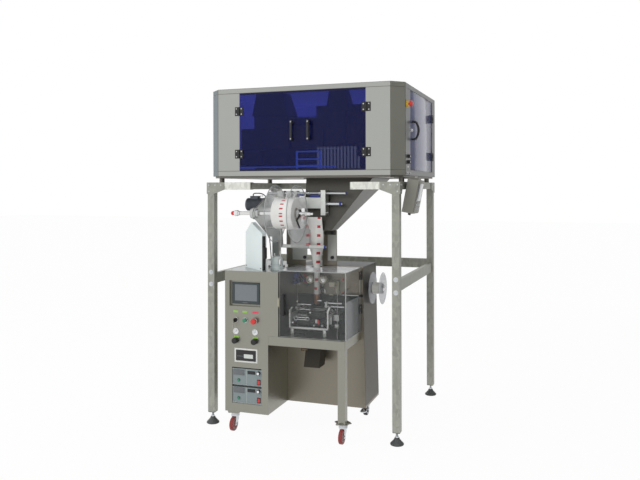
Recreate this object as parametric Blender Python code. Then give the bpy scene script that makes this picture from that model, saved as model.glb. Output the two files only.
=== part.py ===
"""Vertical form fill sealer: a stick packer that stands inside the legs of a weigher frame.

Metres, +Z up. While it is modelled, x = 0 is the middle of the frame, y = 0 the front face of its posts
and z = 0 the floor; the operator stands at -Y. The last step moves everything together, so that the world
origin is the middle of the underside of the whole machine.
"""

from math import cos, pi, radians, sin

import bmesh
import bpy
from mathutils import Matrix, Vector

GAP = 0.0003  # between pieces that touch
FIT = 0.0006  # radial clearance of a turning or sliding fit
SHEET = 0.003  # sheet metal of the hood and the cabinets

# Heights that the rest stands on
TABLE_TOP = 0.660
COLUMN_TOP = TABLE_TOP + 0.426
FRAME_TOP = COLUMN_TOP + 0.598

# Support frame
FRAME_WIDTH = 1.368
FRAME_DEPTH = 1.215
TUBE = 0.050
TUBE_WALL = 0.003
POST_BOTTOM = 0.083
RAIL_HEIGHT = 0.072
RAIL_THICK = 0.030
SIDE_RAIL_TOP = 1.050
REAR_RAIL_TOP = 1.080
STUB_LENGTH = 0.278
GUSSET_WIDTH = 0.130
GUSSET_HEIGHT = 0.080
GUSSET_THICK = 0.005
FOOT_RADIUS = 0.044
FOOT_STEM = 0.008

# Weigher hood
HOOD_WIDTH = FRAME_WIDTH + 0.028
HOOD_FRONT = 0.034
HOOD_BACK = FRAME_DEPTH - 0.040
HOOD_BOTTOM = FRAME_TOP + 0.042
HOOD_HEIGHT = 0.607
HOOD_TOP = HOOD_BOTTOM + HOOD_HEIGHT
HOOD_CHAMFER = 0.079
HOOD_FLANGE = 0.033
FLOOR_THICK = 0.012
FLOOR_INSET = 0.015
MOUNT_RADIUS = 0.0185
MOUNT_INSET = 0.136  # from the hood's front and back to its rubber mounts
FRONT_OPENING = HOOD_WIDTH - 0.492
OPENING_BOTTOM = HOOD_BOTTOM + 0.036
OPENING_TOP = HOOD_TOP - 0.032
SIDE_OPENING_FRONT = HOOD_FRONT + 0.228
SIDE_OPENING_BACK = HOOD_BACK - 0.114
PANE = 0.005
PANE_GAP = 0.001
STOP = 0.012
HINGE_HEIGHT = 0.060
HINGE_LEAF = 0.030
KNUCKLE = 0.005
HINGE_HEIGHTS = (OPENING_BOTTOM + 0.118, OPENING_TOP - 0.126)
HANDLE_HEIGHT = 0.135
HANDLE_OFFSET = 0.060
HANDLE_STEP = 0.036  # how far a handle stands off its door

# Operator column
BASE_LEFT = -0.505
BASE_FRONT = -0.090
BASE_BACK = 0.610
BASE_BOTTOM = 0.135
COLUMN_WIDTH = 0.317
COLUMN_RIGHT = BASE_LEFT + COLUMN_WIDTH
COLUMN_WING = 0.073
WING_RIGHT = COLUMN_RIGHT + COLUMN_WING

# Work table and rear cabinet
TABLE_WIDTH = 0.535
TABLE_RIGHT = COLUMN_RIGHT + TABLE_WIDTH
APRON = 0.060
LEG = 0.050
LEG_BOTTOM = 0.127
CHUTE_WIDTH = 0.110
CHUTE_BOTTOM = TABLE_TOP - 0.230
CABINET_FRONT = 0.260
CABINET_RIGHT = TABLE_RIGHT + 0.019
CABINET_TOP = TABLE_TOP + 0.440
CABINET_SPREAD = 0.020

# Film path: forming tube, funnel and weigh hoppers
FORMER_X = WING_RIGHT + 0.170
FORMER_Y = CABINET_FRONT - 0.060
FORMER_BOTTOM = TABLE_TOP + 0.210
FORMER_RADIUS = 0.019
SPOUT_RADIUS = 0.045
FUNNEL_LEFT = FORMER_X - 0.077
FUNNEL_TOP_X = FORMER_X + 0.400
FUNNEL_TOP_Y = (FORMER_Y, FORMER_Y + 0.500)
FUNNEL_OUTLET_X = FORMER_X + 0.123
FUNNEL_OUTLET_Y = (FORMER_Y - 0.052, FORMER_Y + 0.080)
FUNNEL_OUTLET_Z = CABINET_TOP + 0.253
FUNNEL_RIM = 0.020
WEB_TOP = FUNNEL_OUTLET_Z + 0.047
PLATE_TOP = FUNNEL_OUTLET_Z - 0.004
PLATE_SPANS = ((FORMER_X - 0.260, FORMER_X - 0.115),
               (FORMER_X + 0.010, FORMER_X + 0.117))  # left and right, in x
TAB_LEFT = FORMER_X - 0.165
HEAD_SIZE = 0.160
HEAD_X = (FORMER_X + 0.025, FORMER_X + 0.265)
HEAD_Y = FORMER_Y + 0.230
HEAD_TOP = HOOD_TOP - 0.103
HEAD_BOTTOM = HOOD_BOTTOM + 0.204
TOWER_LEFT = FORMER_X - 0.535
TOWER_RIGHT = FORMER_X - 0.265

# Operator panel
SCREEN_WIDTH = 0.202
SCREEN_HEIGHT = 0.146
SCREEN_X = BASE_LEFT + 0.1475
SCREEN_Z = COLUMN_TOP - 0.151
SCREEN_RECESS = 0.020
PANEL_COLUMNS = (BASE_LEFT + 0.081, BASE_LEFT + 0.150, BASE_LEFT + 0.222)
BUTTON_ROW = COLUMN_TOP - 0.330
KNOB_ROW = COLUMN_TOP - 0.468
GENERATOR_WIDTH = 0.262
GENERATOR_HEIGHT = 0.116
GENERATOR_DEPTH = 0.250
GENERATOR_X = BASE_LEFT + 0.1605
WINDOW_WIDTH = GENERATOR_WIDTH - 0.045
WINDOW_BOTTOM = BASE_BOTTOM + 0.055
SHELF = 0.004

# Castors
WHEEL_RADIUS = 0.0465
WHEEL_WIDTH = 0.026
CASTOR_TRAIL = 0.028
CROWN_TOP = 0.120
KINGPIN = 0.007
PAD = 0.076

# Unwind
SIDE_PLATE_X = COLUMN_RIGHT - 0.097
SIDE_PLATE = 0.010
STAND_Y = 0.190
REEL_Y = -0.080
REEL_Z = COLUMN_TOP + 0.389
REEL_DISC = 0.190
DISC_THICK = 0.008
ROLL_RADIUS = 0.100
ROLL_LEFT = SIDE_PLATE_X + 0.153
ROLL_WIDTH = 0.145
ROLL_HUB = 0.025
SHAFT_RADIUS = 0.0125
BEAM_RIGHT = ROLL_LEFT + ROLL_WIDTH + 0.109
DANCER_X = SIDE_PLATE_X + 0.113
DANCER_Y = 0.085
DANCER_Z = REEL_Z - 0.103
DANCER_DROP = 0.127
DANCER_LEAN = 0.025
DANCER_ROLLER = 0.310
COVER_X = BASE_LEFT + 0.160
COVER_Y = BASE_FRONT + 0.152
COVER_WIDTH = 0.284
COVER_THICK = 0.032
COVER_SHOULDER = 0.250
COVER_PEAK = 0.320
COVER_TURN = radians(-42)
DRUM_X = COLUMN_RIGHT - 0.002
DRUM_Y = BASE_FRONT + 0.160
DRUM_RADIUS = 0.042

# Sealing station
JAW_FRAME_LEFT = WING_RIGHT + 0.040
JAW_FRAME_WIDTH = 0.280
JAW_FRAME_FRONT = FORMER_Y - 0.200
JAW_Z = TABLE_TOP + 0.140
JAW_FRAME_BOTTOM = JAW_Z - 0.065
JAW_FRAME_TOP = JAW_Z + 0.085
JAW_BAR = 0.014
GUIDE_RADIUS = 0.008
JAW_DEPTH = 0.034
REAR_JAW_DEPTH = 0.018
JAW_HEIGHT = 0.040
JAW_OPENING = 0.030
ROLLER_RADIUS = 0.027
ROLLER_Z = TABLE_TOP + 0.350
GUARD_LEFT = WING_RIGHT + 0.007
GUARD_RIGHT = TABLE_RIGHT + 0.005
GUARD_FRONT = BASE_FRONT + 0.005
GUARD_TOP = CABINET_TOP
GUARD_PANE = 0.005
GUARD_HINGES = (TABLE_TOP + 0.155, TABLE_TOP + 0.385)

# Thread reel and terminal
THREAD_Y = CABINET_FRONT + 0.176
THREAD_Z = CABINET_TOP - 0.163
THREAD_RADIUS = 0.112
THREAD_WIDTH = 0.075
TERMINAL_X = HOOD_WIDTH / 2 + 0.007
TERMINAL_Y = (HOOD_FRONT + 0.116, HOOD_FRONT + 0.301)
TERMINAL_Z = (HOOD_BOTTOM - 0.248, HOOD_BOTTOM - 0.026)
TERMINAL_THICK = 0.075
TERMINAL_TILT = radians(11)

COLOURS = {  # name: (colour, roughness, metallic)
    "frame_steel": ((0.55, 0.56, 0.55), 0.45, 0.9),
    "brushed_stainless": ((0.60, 0.59, 0.56), 0.35, 1.0),
    "dark_stainless": ((0.25, 0.24, 0.22), 0.40, 0.9),
    "machined_aluminium": ((0.72, 0.73, 0.74), 0.30, 1.0),
    "chromed_steel": ((0.80, 0.80, 0.82), 0.12, 1.0),
    "black_plastic": ((0.02, 0.02, 0.02), 0.45, 0.0),
    "black_rubber": ((0.03, 0.03, 0.03), 0.80, 0.0),
    "blue_acrylic": ((0.05, 0.08, 0.45), 0.08, 0.0),
    "clear_acrylic": ((0.85, 0.88, 0.90), 0.06, 0.0),
    "red_plastic": ((0.75, 0.03, 0.03), 0.35, 0.0),
    "green_plastic": ((0.02, 0.30, 0.15), 0.35, 0.0),
    "grey_enamel": ((0.42, 0.47, 0.52), 0.50, 0.0),
    "white_enamel": ((0.80, 0.84, 0.86), 0.45, 0.0),
    "white_plastic": ((0.82, 0.83, 0.80), 0.40, 0.0),
    "castor_red": ((0.45, 0.08, 0.07), 0.45, 0.0),
    "zinc_plate": ((0.70, 0.72, 0.74), 0.30, 1.0),
    "film": ((0.88, 0.88, 0.86), 0.35, 0.0),
}
PIECES = []  # every piece made


# ---- shapes: each returns a new mesh object, in modelling coordinates ----


def mesh_object(bm):
    """An object of a closed bmesh, its faces turned outwards."""
    bmesh.ops.recalc_face_normals(bm, faces=bm.faces)
    mesh = bpy.data.meshes.new("shape")
    bm.to_mesh(mesh)
    bm.free()
    obj = bpy.data.objects.new("shape", mesh)
    bpy.context.scene.collection.objects.link(obj)
    return obj


def frustum(low, high):
    """A closed solid between two loops of points that match one to one."""
    bm = bmesh.new()
    bottom = [bm.verts.new(p) for p in low]
    top = [bm.verts.new(p) for p in high]
    count = len(bottom)
    bm.faces.new(bottom)
    bm.faces.new(top)
    for i in range(count):
        j = (i + 1) % count
        bm.faces.new((bottom[i], bottom[j], top[j], top[i]))
    return mesh_object(bm)


def block(x0, x1, y0, y1, z0, z1):
    corners = ((x0, y0), (x1, y0), (x1, y1), (x0, y1))
    return frustum([(x, y, z0) for x, y in corners], [(x, y, z1) for x, y in corners])


def prism(outline, axis, start, end):
    """An outline swept along an axis: "x" takes (y, z) points, "y" takes (x, z) and "z" takes (x, y)."""
    place = {"x": lambda p, t: (t, p[0], p[1]), "y": lambda p, t: (p[0], t, p[1]),
             "z": lambda p, t: (p[0], p[1], t)}[axis]
    return frustum([place(p, start) for p in outline], [place(p, end) for p in outline])


def turned(profile, centre, axis="z", sides=16):
    """A profile of (radius, height) points turned about an axis through centre, capped at both its ends."""
    toward = Vector({"x": (1, 0, 0), "y": (0, 1, 0), "z": (0, 0, 1)}[axis])
    across = Vector({"x": (0, 0, -1), "y": (0, 0, -1), "z": (1, 0, 0)}[axis])
    third = toward.cross(across)
    bm = bmesh.new()
    rings = []
    for radius, height in profile:
        angles = (2 * pi * i / sides for i in range(sides))
        points = (across * cos(a) * radius + third * sin(a) * radius for a in angles)
        rings.append([bm.verts.new(Vector(centre) + toward * height + p) for p in points])
    for low, high in zip(rings, rings[1:]):
        for i in range(sides):
            j = (i + 1) % sides
            bm.faces.new((low[i], low[j], high[j], high[i]))
    bm.faces.new(rings[0])
    bm.faces.new(rings[-1])
    return mesh_object(bm)


def rod(start, end, radius, sides=12):
    """A round bar along one of the axes."""
    axis = next(name for name, a, b in zip("xyz", start, end) if a != b)
    length = sum(b - a for a, b in zip(start, end))
    return turned(((radius, 0), (radius, length)), start, axis, sides)


def turn_shape(obj, angle, axis, centre):
    """Turns a shape about an axis through centre."""
    turn = Matrix.Rotation(angle, 4, axis)
    obj.data.transform(Matrix.Translation(centre) @ turn @ Matrix.Translation(-Vector(centre)))
    return obj


# ---- pieces ----


def material(name):
    found = bpy.data.materials.get(name)
    if found:
        return found
    made = bpy.data.materials.new(name)
    made.use_nodes = True
    colour, roughness, metallic = COLOURS[name]
    shader = made.node_tree.nodes["Principled BSDF"]
    shader.inputs["Base Color"].default_value = (*colour, 1)
    shader.inputs["Roughness"].default_value = roughness
    shader.inputs["Metallic"].default_value = metallic
    made.diffuse_color = (*colour, 1)
    return made


def combine(target, others, operation):
    """Joins shapes to the target, or cuts them from it, one at a time."""
    for other in others:
        modifier = target.modifiers.new(operation.lower(), "BOOLEAN")
        modifier.operation = operation
        modifier.solver = "EXACT"
        modifier.object = other
        graph = bpy.context.evaluated_depsgraph_get()
        mesh = bpy.data.meshes.new_from_object(target.evaluated_get(graph))
        target.modifiers.clear()
        target.data = mesh
        bpy.data.objects.remove(other)


def piece(name, finish, shapes, cuts=(), joint=(0, 0, 0), parent=None):
    """One solid: its shapes joined, its cuts taken out, its origin on its joint's axis."""
    obj = shapes[0]
    combine(obj, shapes[1:], "UNION")
    combine(obj, cuts, "DIFFERENCE")
    obj.name = obj.data.name = name
    obj.data.materials.clear()
    obj.data.materials.append(material(finish))
    obj.data.shade_smooth()
    obj.data.set_sharp_from_angle(angle=radians(35))
    obj.data.transform(Matrix.Translation(-Vector(joint)))
    obj.location = joint
    if parent:
        obj.parent = parent
        obj.location = Vector(joint) - parent.location
    PIECES.append(obj)
    return obj


def hinge_half(x, y, z, door, out, moving):
    """One half of a leaf hinge on an upright axis. door and out are unit steps in the plan, from the axis
    towards the door and out of the surface that both leaves lie on."""
    side = 1 if moving else -1
    low, high = z - HINGE_HEIGHT / 2, z + HINGE_HEIGHT / 2
    third = HINGE_HEIGHT / 3

    def plate(near, far, deep, skin, z0, z1):
        xs = [a * door[0] + b * out[0] for a in (near, far) for b in (deep, skin)]
        ys = [a * door[1] + b * out[1] for a in (near, far) for b in (deep, skin)]
        return block(x + min(xs), x + max(xs), y + min(ys), y + max(ys), z0, z1)

    shapes = [plate(side * (KNUCKLE + 0.001), side * HINGE_LEAF, -KNUCKLE - 0.0015, 0.003 - KNUCKLE, low,
                    high)]
    if moving:
        spans = [(low + third + GAP, high - third - GAP)]
    else:
        spans = [(low, low + third), (high - third, high)]
    for z0, z1 in spans:
        shapes.append(plate(0, side * (KNUCKLE + 0.002), 0.0005 - KNUCKLE, 0.003 - KNUCKLE, z0, z1))
        shapes.append(rod((x, y, z0), (x, y, z1), KNUCKLE - 0.0005))
    return shapes


# ---- support frame ----

POST_X = FRAME_WIDTH / 2 - TUBE
REAR_Y = FRAME_DEPTH - TUBE


def post(side, y):
    """A square tube, open at its foot: (tube, its hollow)."""
    x0, x1 = sorted((side * POST_X, side * (POST_X + TUBE)))
    inner = (x0 + TUBE_WALL, x1 - TUBE_WALL, y + TUBE_WALL, y + TUBE - TUBE_WALL)
    hollow = block(*inner, POST_BOTTOM - 0.01, FRAME_TOP - TUBE_WALL)
    return block(x0, x1, y, y + TUBE, POST_BOTTOM, FRAME_TOP), hollow


def gusset(side, outer, inner):
    """The corner plate's outline in (x or y, z), from the outer edge inwards; side gives its direction."""
    knee = outer + side * TUBE
    return [(outer, FRAME_TOP), (inner, FRAME_TOP), (inner, FRAME_TOP - TUBE),
            (knee, FRAME_TOP - GUSSET_HEIGHT), (outer, FRAME_TOP - GUSSET_HEIGHT)]


def side_frame(name, side):
    tube, hollow = post(side, 0)
    inner, outer = side * POST_X, side * (POST_X + TUBE)
    x0, x1 = sorted((inner, outer))
    middle = (x0 + x1) / 2
    stub = sorted((side * (POST_X - STUB_LENGTH), side * (POST_X + 0.01)))
    front_plate = gusset(-side, outer, outer - side * GUSSET_WIDTH)
    skin = sorted((outer - side * 0.001, outer + side * GUSSET_THICK))
    side_plate = gusset(1, -GUSSET_THICK, GUSSET_WIDTH / 2)
    shapes = [
        tube,
        block(x0, x1, TUBE - 0.01, REAR_Y - GAP, FRAME_TOP - TUBE, FRAME_TOP),
        block(middle - RAIL_THICK / 2, middle + RAIL_THICK / 2, TUBE - 0.002, REAR_Y - GAP,
              SIDE_RAIL_TOP - RAIL_HEIGHT, SIDE_RAIL_TOP),
        block(*stub, 0, TUBE, FRAME_TOP - TUBE, FRAME_TOP),
        prism(front_plate, "y", -GUSSET_THICK, 0.001),
        prism(side_plate, "x", *skin),
    ]
    wall = TUBE_WALL
    half = RAIL_THICK / 2 - wall
    hollows = [hollow,
               block(x0 + wall, x1 - wall, TUBE + wall, REAR_Y + wall, FRAME_TOP - TUBE + wall,
                     FRAME_TOP - wall),
               block(middle - half, middle + half, TUBE + wall, REAR_Y + wall,
                     SIDE_RAIL_TOP - RAIL_HEIGHT + wall, SIDE_RAIL_TOP - wall)]
    piece(name, "frame_steel", shapes, hollows)


def rear_frame():
    shapes, hollows = [], []
    for side in (-1, 1):
        tube, hollow = post(side, REAR_Y)
        shapes.append(tube)
        hollows.append(hollow)
        outer = side * (POST_X + TUBE)
        skin = sorted((outer + side * GAP, outer + side * GUSSET_THICK))
        plate = gusset(-1, FRAME_DEPTH + GUSSET_THICK, FRAME_DEPTH - GUSSET_WIDTH)
        shapes.append(prism(plate, "x", *skin))
        wrap = sorted((side * POST_X, outer + side * GUSSET_THICK))
        shapes.append(block(*wrap, FRAME_DEPTH - 0.001, FRAME_DEPTH + GUSSET_THICK,
                            FRAME_TOP - GUSSET_HEIGHT, FRAME_TOP))
    inside = POST_X + 0.001
    shapes.append(block(-inside, inside, REAR_Y, FRAME_DEPTH, FRAME_TOP - TUBE, FRAME_TOP))
    wall, reach = TUBE_WALL, POST_X + TUBE / 2
    hollows.append(block(-reach, reach, REAR_Y + wall, FRAME_DEPTH - wall, FRAME_TOP - TUBE + wall,
                         FRAME_TOP - wall))
    rail_y = REAR_Y + (TUBE - RAIL_THICK) / 2
    shapes.append(block(-inside, inside, rail_y, rail_y + RAIL_THICK, REAR_RAIL_TOP - RAIL_HEIGHT,
                        REAR_RAIL_TOP))
    hollows.append(block(-reach, reach, rail_y + wall, rail_y + RAIL_THICK - wall,
                         REAR_RAIL_TOP - RAIL_HEIGHT + wall, REAR_RAIL_TOP - wall))
    piece("rear_frame", "frame_steel", shapes, hollows)


def levelling_foot(name, x, y):
    """A cone pad, lock nut and stem, with the square plug that closes the post."""
    plug = TUBE / 2 - TUBE_WALL - GAP
    cap = TUBE / 2 - 0.001
    cone = turned(((FOOT_RADIUS, 0), (FOOT_RADIUS, 0.010), (0.018, 0.040), (0.014, 0.046)), (x, y, 0),
                  sides=20)
    nut = turned(((0.012, 0.044), (0.012, 0.056)), (x, y, 0), sides=6)
    stem = turned(((FOOT_STEM, 0.054), (FOOT_STEM, POST_BOTTOM - 0.002)), (x, y, 0), sides=10)
    collar = block(x - cap, x + cap, y - cap, y + cap, POST_BOTTOM - 0.0045, POST_BOTTOM - GAP)
    insert = block(x - plug, x + plug, y - plug, y + plug, POST_BOTTOM - 0.001, POST_BOTTOM + 0.020)
    piece(name, "black_rubber", [cone, nut, stem, collar, insert])


def support_frame():
    side_frame("side_frame_left", -1)
    side_frame("side_frame_right", 1)
    rear_frame()
    centre_x, centre_y = POST_X + TUBE / 2, TUBE / 2
    for name, sx, y in (("front_left", -1, centre_y), ("front_right", 1, centre_y),
                        ("rear_left", -1, REAR_Y + centre_y), ("rear_right", 1, REAR_Y + centre_y)):
        levelling_foot("levelling_foot_" + name, sx * centre_x, y)


# ---- weigher hood ----

HOOD_X = HOOD_WIDTH / 2


def hood_plan(inset):
    """The hood's outline in plan, this far inside its outer faces."""
    x, front, back = HOOD_X - inset, HOOD_FRONT + inset, HOOD_BACK - inset
    cut = HOOD_CHAMFER - inset * (2 - 2 ** 0.5)
    return [(-x + cut, front), (x - cut, front), (x, front + cut), (x, back), (-x, back), (-x, front + cut)]


PANE_Y = HOOD_FRONT + GAP
PANE_X = HOOD_X - GAP
DOOR_AXIS_X = FRONT_OPENING / 2 + KNUCKLE
DOOR_AXIS_Y = HOOD_FRONT - KNUCKLE
SIDE_AXIS = (HOOD_X + KNUCKLE, SIDE_OPENING_BACK + KNUCKLE)
STOP_BUTTON = (HOOD_FRONT + 0.116, HOOD_TOP - 0.138)  # y, z on the right face


def hood_shell():
    half = FRONT_OPENING / 2
    shapes = [prism(hood_plan(0), "z", HOOD_BOTTOM, HOOD_TOP)]
    cuts = [
        prism(hood_plan(SHEET), "z", HOOD_BOTTOM + SHEET, HOOD_TOP - SHEET),
        prism(hood_plan(HOOD_FLANGE), "z", HOOD_BOTTOM - 0.01, HOOD_BOTTOM + 0.01),
        block(-half, half, HOOD_FRONT - 0.02, HOOD_FRONT + 0.02, OPENING_BOTTOM, OPENING_TOP),
        block(HOOD_X - 0.02, HOOD_X + 0.02, SIDE_OPENING_FRONT, SIDE_OPENING_BACK, OPENING_BOTTOM,
              OPENING_TOP),
    ]
    shell = shapes[0]
    combine(shell, cuts, "DIFFERENCE")
    added = []
    back = PANE_Y + PANE + GAP
    for edge, lip in ((OPENING_BOTTOM, 1), (OPENING_TOP, -1)):
        # door stops: a strip behind the wall that shows past the opening's edge
        web = sorted((edge - lip * STOP, edge - lip * 0.001))
        strip = sorted((edge - lip * STOP, edge + lip * STOP))
        added.append(block(-half, half, HOOD_FRONT + SHEET - 0.001, back + 0.003, *web))
        added.append(block(-half, half, back, back + 0.003, *strip))
        inside = HOOD_X - (back - HOOD_FRONT)
        added.append(block(inside - 0.003, HOOD_X - SHEET + 0.001, SIDE_OPENING_FRONT, SIDE_OPENING_BACK,
                           *web))
        added.append(block(inside - 0.003, inside, SIDE_OPENING_FRONT, SIDE_OPENING_BACK, *strip))
    for z in HINGE_HEIGHTS:
        for side in (-1, 1):
            added += hinge_half(side * DOOR_AXIS_X, DOOR_AXIS_Y, z, (-side, 0), (0, -1), moving=False)
        added += hinge_half(*SIDE_AXIS, z, (0, -1), (1, 0), moving=False)
    y, z = STOP_BUTTON
    added.append(rod((HOOD_X - 0.001, y, z), (HOOD_X + 0.012, y, z), 0.021, 16))
    for socket_z in (OPENING_BOTTOM + 0.053, OPENING_BOTTOM + 0.091):
        socket_y = SIDE_OPENING_FRONT - 0.074
        added.append(rod((HOOD_X - 0.001, socket_y, socket_z), (HOOD_X + 0.016, socket_y, socket_z), 0.011))
    bore = rod((HOOD_X - 0.02, y, z), (HOOD_X + 0.02, y, z), 0.008 + FIT)
    piece("hood_shell", "brushed_stainless", [shell, *added], [bore])


FLOOR_Z = HOOD_BOTTOM - GAP - FLOOR_THICK + SHEET  # the upper face of the hood floor's sheet


def hood_floor():
    """The dark tray under the hood, on its rubber mounts, with the hole above the funnel."""
    top = HOOD_BOTTOM - GAP
    plate = prism(hood_plan(FLOOR_INSET), "z", top - FLOOR_THICK, top)
    mount_x = POST_X + TUBE / 2
    under = top - FLOOR_THICK + 0.001
    mounts = [turned(((MOUNT_RADIUS, FRAME_TOP + GAP), (MOUNT_RADIUS, under)), (side * mount_x, y, 0))
              for side in (-1, 1) for y in (HOOD_FRONT + MOUNT_INSET, HOOD_BACK - MOUNT_INSET)]
    rim = FUNNEL_RIM
    hole = block(FUNNEL_LEFT + rim, FUNNEL_TOP_X - rim, FUNNEL_TOP_Y[0] + rim, FUNNEL_TOP_Y[1] - rim,
                 HOOD_BOTTOM - 0.1, HOOD_BOTTOM + 0.1)
    tray = prism(hood_plan(HOOD_FLANGE), "z", FLOOR_Z, HOOD_BOTTOM + 0.01)
    piece("hood_floor", "dark_stainless", [plate, *mounts], [tray, hole])


def front_door(name, side):
    half = FRONT_OPENING / 2
    x0, x1 = sorted((side * (half - PANE_GAP), side * PANE_GAP / 2))
    pane = block(x0, x1, PANE_Y, PANE_Y + PANE, OPENING_BOTTOM + PANE_GAP, OPENING_TOP - PANE_GAP)
    shapes = [pane]
    for z in HINGE_HEIGHTS:
        shapes += hinge_half(side * DOOR_AXIS_X, DOOR_AXIS_Y, z, (-side, 0), (0, -1), moving=True)
    piece(name, "blue_acrylic", shapes, joint=(side * DOOR_AXIS_X, DOOR_AXIS_Y, 0))


def door_handle(name, side):
    """A bar handle on two feet, on the pane's face."""
    x = side * HANDLE_OFFSET
    z0 = (OPENING_BOTTOM + OPENING_TOP - HANDLE_HEIGHT) / 2
    z1 = z0 + HANDLE_HEIGHT
    face = PANE_Y - GAP
    grip = block(x - 0.009, x + 0.009, face - HANDLE_STEP, face - HANDLE_STEP + 0.014, z0, z1)
    feet = [block(x - 0.008, x + 0.008, face - HANDLE_STEP + 0.012, face, z, z + 0.018)
            for z in (z0 + 0.001, z1 - 0.019)]
    piece(name, "black_plastic", [grip, *feet], joint=(side * DOOR_AXIS_X, DOOR_AXIS_Y, 0))


def side_door():
    front, back = SIDE_OPENING_FRONT + PANE_GAP, SIDE_OPENING_BACK - PANE_GAP
    pane = block(PANE_X - PANE, PANE_X, front, back, OPENING_BOTTOM + PANE_GAP, OPENING_TOP - PANE_GAP)
    shapes = [pane]
    for z in HINGE_HEIGHTS:
        shapes += hinge_half(*SIDE_AXIS, z, (0, -1), (1, 0), moving=True)
    y, z0 = front + 0.050, (OPENING_BOTTOM + OPENING_TOP - HANDLE_HEIGHT) / 2
    z1 = z0 + HANDLE_HEIGHT
    shapes.append(block(PANE_X + HANDLE_STEP - 0.006, PANE_X + HANDLE_STEP + 0.008, y - 0.009, y + 0.009,
                        z0, z1))
    shapes += [block(PANE_X - 0.001, PANE_X + HANDLE_STEP - 0.004, y - 0.008, y + 0.008, z, z + 0.018)
               for z in (z0 + 0.001, z1 - 0.019)]
    lock_z = (z0 + z1) / 2
    shapes.append(rod((PANE_X - 0.001, front + 0.016, lock_z), (PANE_X + 0.014, front + 0.016, lock_z),
                      0.010))
    piece("side_door", "blue_acrylic", shapes, joint=(*SIDE_AXIS, 0))


def hood_emergency_stop():
    y, z = STOP_BUTTON
    x = HOOD_X + 0.012
    stem = rod((x - 0.030, y, z), (x + 0.010, y, z), 0.008, 12)
    cap = turned(((0.012, 0.008), (0.020, 0.014), (0.020, 0.024), (0.013, 0.031)), (x, y, z), "x", 16)
    piece("hood_emergency_stop", "red_plastic", [stem, cap], joint=(x, y, z))


def weigher_hood():
    hood_shell()
    hood_floor()
    for name, side in (("left", -1), ("right", 1)):
        front_door("front_door_" + name, side)
        door_handle("door_handle_" + name, side)
    side_door()
    hood_emergency_stop()


# ---- weigher, funnel and former ----

HOPPER_WALL = 0.003
GATE_DROP = 0.004


def square(x, y, half, z):
    return [(x - half, y - half, z), (x + half, y - half, z), (x + half, y + half, z),
            (x - half, y + half, z)]


def weigher():
    """A drive cabinet on the hood floor, with two weigh hoppers on its front and a gate under each."""
    half, outlet = HEAD_SIZE / 2, HEAD_SIZE / 2 - 0.020
    right = HEAD_X[1] + half + 0.03
    front = HEAD_Y + half + 0.015
    floor = FLOOR_Z + GAP
    rear = FUNNEL_TOP_Y[1]
    shapes = [block(TOWER_LEFT, right, rear, rear + 0.250, floor, HEAD_TOP - 0.04),
              block(TOWER_LEFT, TOWER_RIGHT, HEAD_Y - half, rear + 0.01, floor, HEAD_TOP - 0.10),
              block(HEAD_X[0] - half, right, front, rear + 0.01, HEAD_BOTTOM + 0.03, HEAD_TOP - 0.04)]
    wall = HOPPER_WALL
    cuts = [block(TOWER_LEFT + wall, right - wall, rear + wall, rear + 0.250 - wall, floor - 0.01,
                  HEAD_TOP - 0.04 - wall),
            block(TOWER_LEFT + wall, TOWER_RIGHT - wall, HEAD_Y - half + wall, rear + 0.01, floor - 0.01,
                  HEAD_TOP - 0.10 - wall),
            block(HEAD_X[0] - half + wall, right - wall, front + wall, rear + 0.01,
                  HEAD_BOTTOM + 0.03 + wall,
                  HEAD_TOP - 0.04 - wall)]
    knee = HEAD_BOTTOM + 0.09
    for x in HEAD_X:
        arm = block(x - 0.03, x + 0.03, HEAD_Y + half - 0.001, front + 0.001, HEAD_BOTTOM + 0.15,
                    HEAD_TOP - 0.06)
        body = block(x - half, x + half, HEAD_Y - half, HEAD_Y + half, knee, HEAD_TOP)
        taper = frustum(square(x, HEAD_Y, outlet, HEAD_BOTTOM), square(x, HEAD_Y, half, knee + 0.0001))
        shapes += [arm, body, taper]
        inner = half - HOPPER_WALL
        cuts += [block(x - inner, x + inner, HEAD_Y - inner, HEAD_Y + inner, knee, HEAD_TOP + 0.01),
                 frustum(square(x, HEAD_Y, outlet - HOPPER_WALL, HEAD_BOTTOM - 0.001),
                         square(x, HEAD_Y, inner, knee + 0.001))]
    piece("weigher_body", "dark_stainless", shapes, cuts)
    for name, x, side in (("left", HEAD_X[0], -1), ("right", HEAD_X[1], 1)):
        # the flap closes the outlet from below and turns on the pin along its outer edge
        pin_x, pin_z = x + side * (outlet + 0.008), HEAD_BOTTOM + 0.002
        y0, y1 = HEAD_Y - outlet, HEAD_Y + outlet
        x0, x1 = sorted((pin_x, x - side * outlet))
        flap = block(x0, x1, y0, y1, HEAD_BOTTOM - GATE_DROP, HEAD_BOTTOM - GAP)
        pin = rod((pin_x, y0, pin_z), (pin_x, y1, pin_z), 0.005)
        piece("hopper_gate_" + name, "machined_aluminium", [flap, pin], joint=(pin_x, HEAD_Y, pin_z))


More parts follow.
